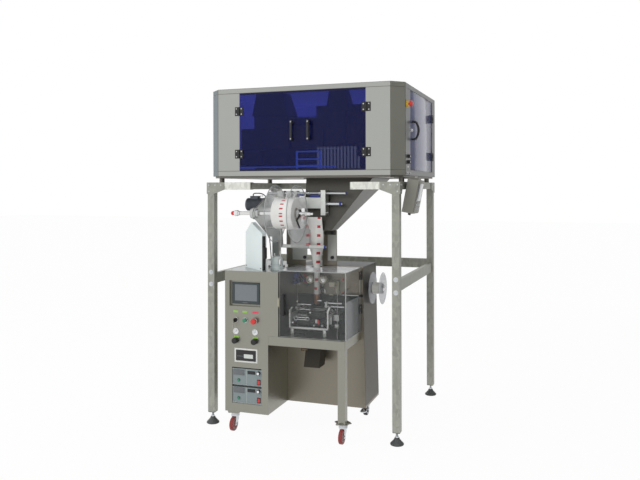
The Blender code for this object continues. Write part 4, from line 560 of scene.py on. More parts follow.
def hinge_half(shape, axis, z, door, out, side):
    """Covers one half of a leaf hinge: side is 1 for the door's half and -1 for the frame's."""
    def plate(near, far, deep, skin, z0, z1, round_by):
        """A block given along the door, away from it and up."""
        xs = [axis[0] + a * door[0] + b * out[0] for a in (near, far) for b in (deep, skin)]
        ys = [axis[1] + a * door[1] + b * out[1] for a in (near, far) for b in (deep, skin)]
        shape.box((min(xs), min(ys), z0), (max(xs), max(ys), z1), round_by)

    low, high = z - LEAF_HIGH / 2, z + LEAF_HIGH / 2
    third = 0.0203
    plate(side * 0.0056, side * 0.0306, -0.0052, -0.0012, low, high, 0.0012)
    ends = [(low, low + third - 0.0006), (high - third + 0.0006, high)]
    spans = [(low + third, high - third)] if side == 1 else ends
    for z0, z1 in spans:
        plate(0, side * 0.0072, -0.0045, -0.0012, z0, z1, 0)
        shape.rod((*axis, z0), (*axis, z1), 0.0052, 16, 0.0008)


def hinge_screws(shape, axis, z, door, out, side):
    """The two screws of one half of a leaf hinge."""
    x, y = (axis[i] + side * LEAF_SCREW * door[i] - 0.0012 * out[i] for i in (0, 1))
    for dz in (-LEAF_SCREW, LEAF_SCREW):
        shape.screw((x, y, z + dz), "y" if out[1] else "x", out[1] or out[0], 0.0042, 0.0022)


def hinges(name, axis, door, out, moving_body):
    """A door's two leaf hinges: door and out are the directions along the door and away from it."""
    for side, body in ((1, moving_body), (-1, "machine")):
        part = "door" if side == 1 else "frame"
        leaves, screws = Shape(), Shape()
        for z in HINGE_Z:
            hinge_half(leaves, axis, z, door, out, side)
            hinge_screws(screws, axis, z, door, out, side)
        leaves.done(f"{name}_hinge_{part}", "black", body)
        screws.done(f"{name}_hinge_{part}_screws", "bright_steel", body)


def front_doors():
    """The two front windows with their hinges and handles."""
    for name, side in (("left", -1), ("right", 1)):
        body = "front_door_" + name
        low, high = span(body)
        edge = side * (OPENING - 0.001)
        pane = Shape()
        x0, x1 = sorted((side * 0.0005, edge))
        pane.box((x0, HOOD_FRONT + 0.0003, low.z), (x1, high.y, high.z), 0.0008)
        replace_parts(pane.done(f"front_pane_{name}", "window_blue", body), body)
        hinges(f"front_{name}", HINGE_AXIS[side], (-side, 0), (0, -1), body)
        grip_low, grip_high = span("door_handle_" + name)
        bar = Shape()
        bar.box(grip_low, (grip_high.x, grip_low.y + 0.014, grip_high.z), 0.0055, 3)
        for z in (grip_low.z + 0.001, grip_high.z - 0.019):
            bar.box((grip_low.x + 0.001, grip_low.y + 0.01, z), (grip_high.x - 0.001, HOOD_FRONT, z + 0.018),
                    0.002)
        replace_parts(bar.done(f"front_handle_{name}", "black", body), "door_handle_" + name)
        screws = Shape()
        x = (grip_low.x + grip_high.x) / 2
        for z in (grip_low.z + 0.01, grip_high.z - 0.01):
            screws.screw((x, grip_low.y, z), "y", -1, 0.0042, 0.001)
        screws.done(f"front_handle_{name}_screws", "bright_steel", body)


def side_door():
    """The side window with its hinges, handle and lock."""
    low, high = span("side_door")
    front, back = low.y, SIDE_OPENING[1] - 0.001
    pane = Shape()
    pane.box((HOOD_X - 0.0053, front, low.z), (HOOD_X - 0.0003, back, high.z), 0.0008)
    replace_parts(pane.done("side_pane", "window_lilac", "side_door"), "side_door")
    hinges("side", SIDE_AXIS, (0, -1), (1, 0), "side_door")
    y, z0, z1 = front + 0.05, (low.z + high.z) / 2 - 0.0675, (low.z + high.z) / 2 + 0.0675
    face, grip = HOOD_X - 0.001, HOOD_X + 0.0357
    ring = [(face, y, z0 + 0.009), (grip - 0.014, y, z0 + 0.009), (grip, y, z0 + 0.022),
            (grip, y, z1 - 0.022), (grip - 0.014, y, z1 - 0.009), (face, y, z1 - 0.009)]
    swept("side_handle", ring, 0.0078, body="side_door")
    lock = Shape()
    lock_y, lock_z = front + 0.016, (z0 + z1) / 2
    lock.turned([(0.0125, 0), (0.0125, 0.003), (0.0105, 0.005), (0.01, 0.013), (0.0085, 0.0145)],
                (HOOD_X - 0.0003, lock_y, lock_z), "x", 28)
    lock.done("side_lock", "chrome", "side_door")
    slot = Shape()
    slot.box((HOOD_X + 0.0135, lock_y - 0.0008, lock_z - 0.0045),
             (HOOD_X + 0.0148, lock_y + 0.0008, lock_z + 0.0045))
    slot.done("side_lock_slot", "black", "side_door")


def mushroom(name, node, centre, axis, out, base, length):
    """A domed red push button that stands for a CAD one: base is where its skirt starts along the axis."""
    head = Shape()
    profile = [(0.01, base), (0.0175, base + 0.0015), (0.02, base + 0.0055), (0.02, base + 0.011),
               (0.0188, length - 0.0045), (0.015, length - 0.0015), (0.0085, length), (0.003, length)]
    head.turned([(r, out * h) for r, h in profile], centre, axis, 40)
    head.turned([(0.0078, out * (base - 0.01)), (0.0078, out * (base + 0.002))], centre, axis, 24)
    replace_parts(head.done(name, "red", node), node)


def hood_controls():
    """The stop button, sockets and blank label on the hood's right side."""
    y, z = 0.15, HOOD_HIGH - 0.138
    ring = Shape()
    ring.turned([(0.0235, 0), (0.0235, 0.002), (0.0222, 0.0025), (0.0222, 0.0118), (0.0205, 0.0132),
                 (0.012, 0.0132)], (HOOD_X + 0.0002, y, z), "x", 40)
    ring.done("hood_stop_ring", "yellow")
    mushroom("hood_stop_cap", "hood_emergency_stop", (HOOD_X, y, z), "x", 1, 0.022, 0.043)
    sockets, pins = Shape(), Shape()
    for socket_z in (DOOR_LOW + 0.052, DOOR_LOW + 0.09):
        at = (HOOD_X + 0.0005, SIDE_OPENING[0] - 0.074, socket_z)
        sockets.turned([(0.0135, 0), (0.0135, 0.004), (0.0118, 0.0055), (0.0118, 0.016), (0.0105, 0.0172),
                        (0.0075, 0.0172), (0.0075, 0.016)], at, "x", 28)
        pins.turned([(0.006, 0.0155), (0.006, 0.0175), (0.004, 0.018)], at, "x", 20)
    sockets.done("hood_sockets", "black")
    pins.done("hood_socket_pins", "chrome")
    label = Shape()
    label.box((HOOD_X, SIDE_OPENING[0] - 0.09, DOOR_LOW + 0.014),
              (HOOD_X + STAND + SKIN, SIDE_OPENING[0] - 0.058, DOOR_LOW + 0.028))
    label.done("hood_socket_label", "white")


def hood_inside():
    """What shows through the windows: a backing on the inner walls that glows as painted light, the big feed
    hoppers, drives and chutes in near-black painted shade, and rails and slats that glow as painted light.
    """
    x, back = HOOD_X - 0.004, HOOD_BACK - 0.004
    # A sheet on the inner walls that glows: painted light.
    painted_glow_backing = Shape()
    painted_glow_backing.box((-x, back - 0.001, HOOD_LOW + 0.005), (x, back, HOOD_HIGH - 0.004))
    painted_glow_backing.box((-x, HOOD_FRONT + CHAMFER + 0.01, HOOD_LOW + 0.005),
               (-x + 0.001, back - 0.002, HOOD_HIGH - 0.004))
    painted_glow_backing.box((-x + 0.002, HOOD_FRONT + CHAMFER + 0.01, HOOD_HIGH - 0.005),
               (x - 0.01, back - 0.002, HOOD_HIGH - 0.004))
    painted_glow_backing.done("hood_painted_glow_backing", "painted_glow_backing")
    # Hoppers, drives and chutes drawn near-black: painted shade.
    dark = Shape()
    for middle, top, wide, high in ((-0.322, 0.1, 0.136, 2.162), (0.19, 0.058, 0.088, 2.18)):
        corners = ((-1, -1), (1, -1), (1, 1), (-1, 1))
        rings = [[(middle + a * half, 0.25 + (1 + b) * 0.8 * half, z) for a, b in corners]
                 for half, z in ((top, HOOD_HIGH - 0.006), (wide, high))]
        dark.loops(rings)
        foot = wide * 0.95 if middle < 0 else 0.05
        dark.box((middle - foot, 0.27, high - 0.09 if middle < 0 else 1.965),
                 (middle + foot, 0.34, high + 0.001), 0.004)
    dark.box((-0.56, 0.28, 1.92), (-0.19, 0.34, 2.075), 0.006)
    dark.box((-0.17, 0.3, 1.94), (0.06, 0.345, 2.09), 0.006)
    dark.box((0.09, 0.3, 1.952), (0.354, 0.345, 2.09), 0.006)
    dark.box((-0.58, 0.25, 1.8), (-0.4, 0.34, 1.92), 0.02, 3)
    dark.box((0.34, 0.22, 1.86), (0.58, 0.34, 1.95), 0.006)
    dark.done("feed_hoppers", "inner_painted_shade")
    light = Shape()
    for px in (-0.095, 0.078):
        light.box((px - 0.006, 0.2, 1.765), (px + 0.006, 0.212, 1.9), 0.002)
    for z in (1.8, 1.845, 1.898):
        light.box((-0.101, 0.199, z - 0.005), (0.084, 0.213, z + 0.005), 0.002)
    light.box((-0.585, 0.215, 1.788), (0.192, 0.222, 1.797), 0.002)
    light.box((-0.269, 0.216, 1.74), (-0.261, 0.222, 1.79), 0.002)
    light.done("hood_rails", "rail_blue_painted_glow")
    slats = Shape()
    for i in range(13):
        px = 0.046 + i * 0.0245
        slats.box((px, 0.23, 1.77), (px + 0.014, 0.236, 1.93), 0.001)
    slats.done("hood_slats", "slat_grey_painted_glow")


# ---- support frame ----

FRAME_BACK = 1.215  # rear faces of the rear posts


def frame_fittings():
    """Bolts and plugs of the leg frame, skins of painted highlight on its front beam, and the pads and stems
    of its feet.
    """
    bolts, plugs = Shape(), Shape()
    outer = span("side_frame_right")[1].x - GUSSET
    for side in (-1, 1):
        middle = side * (outer - 0.025)
        for z in (1.058, 0.975):
            bolts.turned([(0.0165, 0), (0.0165, -0.0014), (0.0125, -0.002)], (middle, 0, z), "y", 24)
            bolts.hexagon((middle, -0.0015, z), "y", -1, 0.009, 0.006)
            bolts.hexagon((middle, FRAME_BACK, z), "y", 1, 0.009, 0.006)
        for px, z in ((0.012, 1.622), (0.012, 1.665), (0.06, 1.665), (0.105, 1.665)):
            bolts.screw((side * (outer - px), -GUSSET, z), "y", -1, 0.0055, 0.0028)
            bolts.screw((side * (outer - px), FRAME_BACK + GUSSET, z), "y", 1, 0.0055, 0.0028)
        for y, z in ((0.012, 1.622), (0.012, 1.665), (0.045, 1.665)):
            bolts.screw((side * (outer + GUSSET), y, z), "x", side, 0.0055, 0.0028)
            bolts.screw((side * (outer + GUSSET), FRAME_BACK - y, z), "x", side, 0.0055, 0.0028)
        x0, x1 = sorted((side * (outer - 0.278 - 0.05), side * (outer - 0.278 - 0.053)))
        plugs.box((x0, 0.002, 1.636), (x1, 0.048, 1.682), 0.001)
    bolts.done("frame_bolts", "zinc")
    # Skins of the lighter spangle on part of the front beam: painted highlight.
    beam_highlights = Shape()
    beam_highlights.box((-outer + 0.118, -0.0012, 1.6345), (-outer + 0.326, 0.0005, 1.6835), 0.0004, 1)
    beam_highlights.box((outer - 0.326, -0.0012, 1.6345), (outer - 0.118, 0.0005, 1.6835), 0.0004, 1)
    beam_highlights.done("frame_painted_highlights", "spangle_painted_highlight")
    plugs.done("frame_plugs", "spangle")
    for corner in ("front_left", "front_right", "rear_left", "rear_right"):
        node = "levelling_foot_" + corner
        low, high = span(node)
        at = ((low.x + high.x) / 2, (low.y + high.y) / 2, 0)
        pad = Shape()
        pad.turned([(0.041, 0), (0.044, 0.003), (0.044, 0.009), (0.0405, 0.013), (0.026, 0.028),
                    (0.019, 0.037), (0.0165, 0.043), (0.015, 0.046)], at, "z", 40)
        pad.box((at[0] - 0.024, at[1] - 0.024, 0.0785), (at[0] + 0.024, at[1] + 0.024, 0.0827), 0.001)
        pad.box((at[0] - 0.0212, at[1] - 0.0212, 0.082), (at[0] + 0.0212, at[1] + 0.0212, 0.103), 0.001)
        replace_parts(pad.done("foot_pad_" + corner, "foot_grey"), node)
        stem = Shape()
        thread = [(0.0068 + 0.0012 * (i % 2), 0.044 + i * 0.0015) for i in range(25)]
        stem.turned(thread, at, "z", 24)
        stem.turned([(0.0115, 0.0445), (0.0125, 0.0455), (0.0125, 0.0545), (0.0115, 0.0555)], at, "z", 6)
        stem.done("foot_stem_" + corner, "zinc")


# ---- operator column ----

COLUMN = span("control_column")
FACE = COLUMN[0].y
SCREEN = span("operator_screen")
PANEL_X = (-0.424, -0.355, -0.283)  # the columns of controls
BUTTON_Z, GAUGE_Z, KNOB_Z = 0.756, 0.68, 0.618


def screen():
    """Glass, bezel and blank badge of the operator's screen."""
    low, high = SCREEN
    glass = Shape()
    glass.box((low.x + 0.0185, low.y + 0.0008, low.z + 0.0205),
              (high.x - 0.0185, low.y + 0.0014, high.z - 0.0145))
    glass.done("screen_glass", "screen_glass")
    rim = Shape()
    outer = (low.x - 0.0006, low.z - 0.0006, high.x + 0.0006, high.z + 0.0006)
    inner = (low.x + 0.018, low.z + 0.02, high.x - 0.018, high.z - 0.014)
    front = low.y - 0.0008
    sides = [(*outer[:3], inner[1]), (outer[0], inner[3], *outer[2:]),
             (outer[0], inner[1], inner[0], inner[3]), (inner[2], inner[1], outer[2], inner[3])]
    for x0, z0, x1, z1 in sides:
        rim.box((x0, front, z0), (x1, front + 0.002, z1), 0.0006)
    rim.done("screen_bezel", "screen_frame")
    badge = Shape()
    badge.box((-0.38, front - SKIN, low.z + 0.006), (-0.345, front + 0.001, low.z + 0.013))
    badge.done("screen_badge", "meter")


def panel_labels():
    """Blank label plates over the controls."""
    for look, places in (("label_green", [(-0.425, 0.812, 0.017), (-0.357, 0.812, 0.017),
                                          (-0.42, 0.642, 0.018), (-0.281, 0.643, 0.018)]),
                         ("label_red", [(-0.279, 0.812, 0.022)])):
        plates = Shape()
        for x, z, half in places:
            plates.box((x - half, FACE - SKIN, z - 0.0062), (x + half, FACE + 0.001, z + 0.0062), 0.0003, 1)
        plates.done(f"{look}_plates", look)


def panel_controls():
    """Key switch, start and stop buttons, gauges and regulator knobs."""
    left, middle, right = PANEL_X
    rings = Shape()
    for x, outer, inner in ((left, 0.0175, 0.012), (middle, 0.018, 0.0152), (right, 0.015, 0.01)):
        rings.turned([(outer, 0), (outer, -0.0025), (outer - 0.0012, -0.004), (inner, -0.004),
                      (inner, -0.0005)], (x, FACE, BUTTON_Z), "y", 36)
    for x in (left, right):
        rings.turned([(0.0215, 0), (0.0215, -0.004), (0.0205, -0.006), (0.018, -0.006), (0.0175, -0.002)],
                     (x + 0.002, FACE, GAUGE_Z), "y", 40)
        rings.turned([(0.0135, 0), (0.0135, -0.003), (0.0125, -0.0036)], (x, FACE, KNOB_Z), "y", 24)
    rings.done("panel_rings", "chrome")
    faces, marks = Shape(), Shape()
    for x, lean in ((left, 0.9), (right, 0.2)):
        at = Vector((x + 0.002, FACE - 0.003, GAUGE_Z))
        faces.turned([(0.0179, 0.002), (0.0179, 0)], at, "y", 36)
        for i in range(11):
            angle = radians(-45 + i * 27)
            place = at + Vector((cos(angle) * 0.0145, -0.0002, sin(angle) * 0.0145))
            marks.box(place - Vector((0.0003, 0.0001, 0.0016)), place + Vector((0.0003, 0.0002, 0.0016)),
                      turn=(pi / 2 - angle, "Y", place))
        marks.box(at + Vector((-0.0006, -0.001, -0.003)), at + Vector((0.0006, -0.0004, 0.0125)),
                  turn=(lean, "Y", at))
        marks.turned([(0.0022, -0.0012), (0.0022, -0.0002)], at, "y", 16)
    faces.done("gauge_faces", "dial_face")
    marks.done("gauge_marks", "black")
    key = Shape()
    key.turned([(0.015, -0.0003), (0.015, -0.01), (0.0135, -0.014), (0.005, -0.014)], (left, FACE, BUTTON_Z),
               "y", 32)
    key.box((left - 0.0016, FACE - 0.034, BUTTON_Z - 0.014), (left + 0.0016, FACE - 0.012, BUTTON_Z + 0.01),
            0.0007)
    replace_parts(key.done("key_barrel", "black", "key_switch", slot="chromed_steel"), "key_switch")
    tag = Shape()
    tag.turned([(0.0078, -0.0007), (0.0085, -0.0007), (0.0085, 0.0007), (0.0078, 0.0007)],
               (left - 0.0045, FACE - 0.026, BUTTON_Z - 0.0225), "x", 24)
    tag.box((left - 0.009, FACE - 0.03, BUTTON_Z - 0.05), (left - 0.0075, FACE - 0.02, BUTTON_Z - 0.03),
            0.0004, 1)
    tag.done("key_tag", "bright_steel", "key_switch", slot="chromed_steel")
    cap = Shape()
    cap.turned([(0.014, -0.0058), (0.0142, -0.015), (0.013, -0.0174), (0.007, -0.0182), (0.002, -0.0184)],
               (middle, FACE, BUTTON_Z), "y", 36)
    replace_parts(cap.done("start_cap", "green", "start_button"), "start_button")
    mushroom("stop_cap", "emergency_stop", (right, FACE, BUTTON_Z), "y", -1, 0.017, 0.038)
    for x, name in ((left, "left"), (right, "right")):
        knob = Shape()
        knob.turned([(0.015, -0.0004), (0.019, -0.003), (0.0196, -0.006), (0.0196, -0.01)],
                    (x, FACE, KNOB_Z), "y", 40)
        steps = ((-0.01, 0.0196), (-0.0285, 0.0196), (-0.031, 0.0175))
        rings = [((x, FACE + height, KNOB_Z), reach) for height, reach in steps]
        knob.knurled(rings, AXES["x"], AXES["z"], 48, 0.0009)
        knob.turned([(0.012, -0.0305), (0.012, -0.032)], (x, FACE, KNOB_Z), "y", 32)
        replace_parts(knob.done("regulator_grip_" + name, "black", "regulator_knob_" + name),
                    "regulator_knob_" + name)


def counter_plate():
    """The counter's frame, face, display and keys."""
    frame_low, frame_high = (-0.434, 0.472), (-0.265, 0.566)
    layers = (("counter_frame", 0, "white", 0.002), ("counter_face", -0.0105, "black", 0.0028))
    for name, grow, look, lift in layers:
        plate = Shape()
        plate.box((frame_low[0] - grow, FACE - lift, frame_low[1] - grow),
                  (frame_high[0] + grow, FACE + 0.001, frame_high[1] + grow), 0.0012)
        plate.done(name, look)
    lcd = Shape()
    lcd.box((-0.364, FACE - 0.0034, 0.501), (-0.297, FACE - 0.001, 0.528), 0.0004, 1)
    lcd.done("counter_lcd", "lcd")
    dots = Shape()
    for x, z in ((-0.411, 0.484), (-0.287, 0.484), (-0.411, 0.554), (-0.287, 0.554)):
        dots.screw((x, FACE - 0.0028, z), "y", -1, 0.0028, 0.001)
    for i in range(4):
        dots.box((-0.412 + i * 0.011, FACE - 0.0033, 0.51), (-0.405 + i * 0.011, FACE - 0.0028, 0.517),
                 0.0002, 1)
    dots.done("counter_keys", "meter")


def generator_fronts():
    """Displays, buttons, knobs and rockers of the two generators."""
    panel, dark, green, caps, bezels = Shape(), Shape(), Shape(), Shape(), Shape()
    for name in ("lower", "upper"):
        low, high = span("generator_" + name)
        y = low.y
        left, right = -0.4525, -0.2365
        meter_top = high.z - 0.008
        panel.box((left + 0.105, y - 0.0012, low.z + 0.003), (left + 0.1065, y + 0.001, high.z - 0.003))
        panel.box((left + 0.003, y - 0.001, low.z + 0.0022), (right - 0.003, y + 0.001, low.z + 0.0034))
        dark.box((left + 0.008, y - 0.003, meter_top - 0.036), (left + 0.088, y + 0.001, meter_top), 0.001)
        bezels.box((left + 0.112, y - 0.0022, meter_top - 0.026),
                   (left + 0.168, y + 0.001, meter_top - 0.004), 0.0008)
        green.turned([(0.0085, 0), (0.0085, -0.004), (0.0065, -0.0065), (0.002, -0.007)],
                     (left + 0.047, y, low.z + 0.035), "y", 28)
        bezels.turned([(0.0105, 0), (0.0105, -0.0018), (0.0088, -0.0024)], (left + 0.047, y, low.z + 0.035),
                      "y", 28)
        knob = span("generator_knob_" + name)
        at = ((knob[0].x + knob[1].x) / 2, y, (knob[0].z + knob[1].z) / 2)
        grip = Shape()
        grip.turned([(0.012, -0.0004), (0.0122, -0.003), (0.0116, -0.0145), (0.0105, -0.016)], at, "y", 32)
        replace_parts(grip.done("level_grip_" + name, "black", "generator_knob_" + name),
                    "generator_knob_" + name)
        cap = Shape()
        cap.turned([(0.0088, -0.0158), (0.0088, -0.0168), (0.008, -0.0172)], at, "y", 28)
        cap.box((at[0] - 0.0007, y - 0.0176, at[2] + 0.001), (at[0] + 0.0007, y - 0.017, at[2] + 0.008))
        cap.done("level_cap_" + name, "chrome", "generator_knob_" + name)
        rocker = span("power_rocker_" + name)
        (x0, z0), (x1, z1) = (rocker[0].x, rocker[0].z), (rocker[1].x, rocker[1].z)
        for a, b in ((x0 - 0.004, x0 - 0.0006), (x1 + 0.0006, x1 + 0.004)):
            bezels.box((a, y - 0.002, z0 - 0.003), (b, y + 0.001, z1 + 0.003), 0.0005, 1)
        for a, b in ((z0 - 0.004, z0 - 0.0012), (z1 + 0.0012, z1 + 0.004)):
            bezels.box((x0 - 0.004, y - 0.002, a), (x1 + 0.004, y + 0.001, b), 0.0005, 1)
        for x in (left + 0.004, right - 0.004):
            caps.screw((x, y, high.z - 0.006), "y", -1, 0.0026, 0.0015)
            caps.screw((x, y, low.z + 0.008), "y", -1, 0.0026, 0.0015)
    shelf = (span("generator_lower")[1].z + span("generator_upper")[0].z) / 2
    bezels.box((-0.4515, FACE + 0.004, shelf - 0.0062), (-0.2375, FACE + 0.006, shelf + 0.0062))
    panel.done("generator_lines", "white")
    dark.done("generator_meters", "meter")
    green.done("generator_buttons", "green")
    bezels.done("generator_bezels", "black")
    caps.done("generator_screws", "bright_steel")


def cabinet_trim():
    """Catch, seams and screws of the column and the rear cabinet, and the fitting at the chute."""
    catch = Shape()
    catch.box((-0.115, FACE + 0.002, 0.857), (-0.1085, FACE + 0.02, 0.917), 0.0015)
    catch.box((-0.117, FACE - 0.0015, 0.862), (-0.1115, FACE + 0.004, 0.912), 0.001)
    catch.done("guard_catch", "cream")
    screws = Shape()
    back = COLUMN[1].y
    for x in (-0.49, -0.203, -0.17, 0.36):
        for z in (0.17, 0.45, 0.75, 1.05):
            screws.screw((x, back, z), "y", 1, 0.0045)
    for y in (-0.06, 0.27, 0.58):
        for z in (0.17, 0.6, 1.05):
            screws.screw((COLUMN[0].x, y, z), "x", -1, 0.0045)
    for x, y in ((-0.47, -0.06), (-0.235, -0.066), (-0.47, 0.55), (-0.22, 0.55)):
        screws.screw((x, y, COLUMN[1].z), "z", 1, 0.0045)
    screws.done("cabinet_screws", "bright_steel")
    doors = Shape()
    for x0, x1, z1 in ((-0.48, -0.215, 1.05), (-0.165, 0.345, 1.06)):
        doors.box((x0, back - 0.001, 0.165), (x1, back + 0.0012, z1), 0.0008)
    doors.done("rear_doors", "cabinet_steel")
    vents = Shape()
    for row in range(9):
        z = 0.3 + row * 0.022
        vents.box((-0.02, back + 0.0008, z), (0.2, back + 0.005, z + 0.008), 0.003, 2)
    vents.done("rear_louvres", "cabinet_steel")
    latches = Shape()
    for x, z in ((-0.235, 0.62), (0.325, 0.62)):
        latches.turned([(0.014, 0), (0.014, 0.003), (0.01, 0.006), (0.004, 0.006)], (x, back + 0.001, z),
                       "y", 28)
    latches.done("rear_latches", "chrome")
    fitting = Shape()
    fitting.turned([(0.01, 0), (0.01, 0.022), (0.0075, 0.024), (0.0075, 0.034)], (-0.018, 0.12, 0.542), "x",
                   6)
    fitting.turned([(0.009, 0), (0.009, 0.018), (0.006, 0.02)], (-0.022, 0.12, 0.53), "z", 20)
    fitting.done("chute_fitting", "brass_dark")


# ---- film unwind ----

REEL = span("reel_spindle")
REEL_Y, REEL_Z = (REEL[0].y + REEL[1].y) / 2, (REEL[0].z + REEL[1].z) / 2
ROLL = span("film_roll")
FORMER = span("forming_tube")
FORMER_X, FORMER_Y = (FORMER[0].x + FORMER[1].x) / 2, (FORMER[0].y + FORMER[1].y) / 2
DANCER = span("dancer_roller")
ROD_Y = 0.118  # middle of the cross beam and of the rods above it
ROD_Z, LOW_ROD_Z = REEL_Z + 0.134, REEL_Z + 0.062
WEB_WIDE = 0.135
BEAM_END, BEAM_THICK = 0.122, 0.034  # the beam's right plate


def reel():
    """The reel's discs, shaft, lever and collar, and the roll of film on it."""
    at = (0, REEL_Y, REEL_Z)
    for name, x0, x1 in (("left", ROLL[0].x - 0.0075, ROLL[0].x - 0.001),
                         ("right", ROLL[1].x + 0.001, ROLL[1].x + 0.0075)):
        disc = Shape()
        disc.turned([(0.02, x0), (0.1885, x0), (0.1885, x1), (0.02, x1)], at, "x", 96)
        obj = disc.done(f"reel_disc_{name}", "disc_clear", "film_reel")
        if name == "left":
            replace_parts(obj, "reel_spindle")
        rim = Shape()
        rim.hoop([(0.1882, x0 - 0.0002), (0.19, x0 + 0.0006), (0.19, x1 - 0.0006), (0.1882, x1 + 0.0002)],
                 at, "x", 96)
        rim.done(f"reel_rim_{name}", "guard_edge", "film_reel")
    shaft = Shape()
    left, right = ROLL[0].x - 0.008, ROLL[1].x + 0.008
    shaft.turned([(0.011, -0.396), (0.0122, -0.394), (0.0122, left - 0.014)], at, "x", 32)
    shaft.turned([(0.03, left - 0.0135), (0.031, left - 0.012), (0.031, left - 0.0005)], at, "x", 40)
    shaft.turned([(0.0245, left + 0.001), (0.0245, right - 0.001)], at, "x", 40)
    shaft.turned([(0.031, right), (0.031, right + 0.014), (0.029, right + 0.016), (0.013, right + 0.016),
                  (0.0124, right + 0.017), (0.0124, 0.07), (0.016, 0.0705), (0.016, 0.086), (0.0124, 0.0865),
                  (0.012, 0.11), (0.0088, 0.1105), (0.0088, 0.1295)], at, "x", 36)
    shaft.done("reel_shaft", "bright_steel", "film_reel", slot="chromed_steel")
    lever = Shape()
    outline = [(-0.004, 0.005), (-0.082, -0.04), (-0.024, -0.094), (-0.014, -0.088), (-0.066, -0.041),
               (0.006, -0.004)]
    lever.prism([(REEL_Y + y, REEL_Z + z) for y, z in outline], "x", right + 0.017, right + 0.025, 0.001, 1)
    lever.done("reel_lever", "black", "film_reel")
    steps = ((-0.4355, 0.0185), (-0.4335, 0.02), (-0.4135, 0.02), (-0.4115, 0.0185))
    rings = [((x, REEL_Y, REEL_Z), reach) for x, reach in steps]
    knurl = Shape()
    knurl.knurled(rings, AXES["y"], AXES["z"], 44, 0.001)
    knurl.turned([(0.0175, -0.4115), (0.0175, -0.407), (0.014, -0.405), (0.014, -0.397)], at, "x", 32)
    knurl.done("reel_collar", "chrome", "film_reel")
    knob = Shape()
    knob.turned([(0.004, -0.4615), (0.0095, -0.4595), (0.0135, -0.4545), (0.015, -0.448), (0.014, -0.441),
                 (0.0095, -0.436)], at, "x", 32)
    knob.done("reel_knob", "red", "film_reel")
    roll = Shape()
    profile = [(0.04, ROLL[0].x + 0.0008), (0.0985, ROLL[0].x + 0.0008), (0.1, ROLL[0].x + 0.0025),
               (0.1, ROLL[1].x - 0.0025), (0.0985, ROLL[1].x - 0.0008), (0.04, ROLL[1].x - 0.0008)]
    roll.turned(profile, at, "x", 96)
    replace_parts(roll.done("film_coil", "film_roll_print", "film_reel"), "film_roll")
    core = Shape()
    core.turned([(0.03, ROLL[0].x + 0.0005), (0.0405, ROLL[0].x + 0.0005), (0.0405, ROLL[1].x - 0.0005),
                 (0.03, ROLL[1].x - 0.0005)], at, "x", 48)
    core.done("film_core", "cardboard", "film_reel")


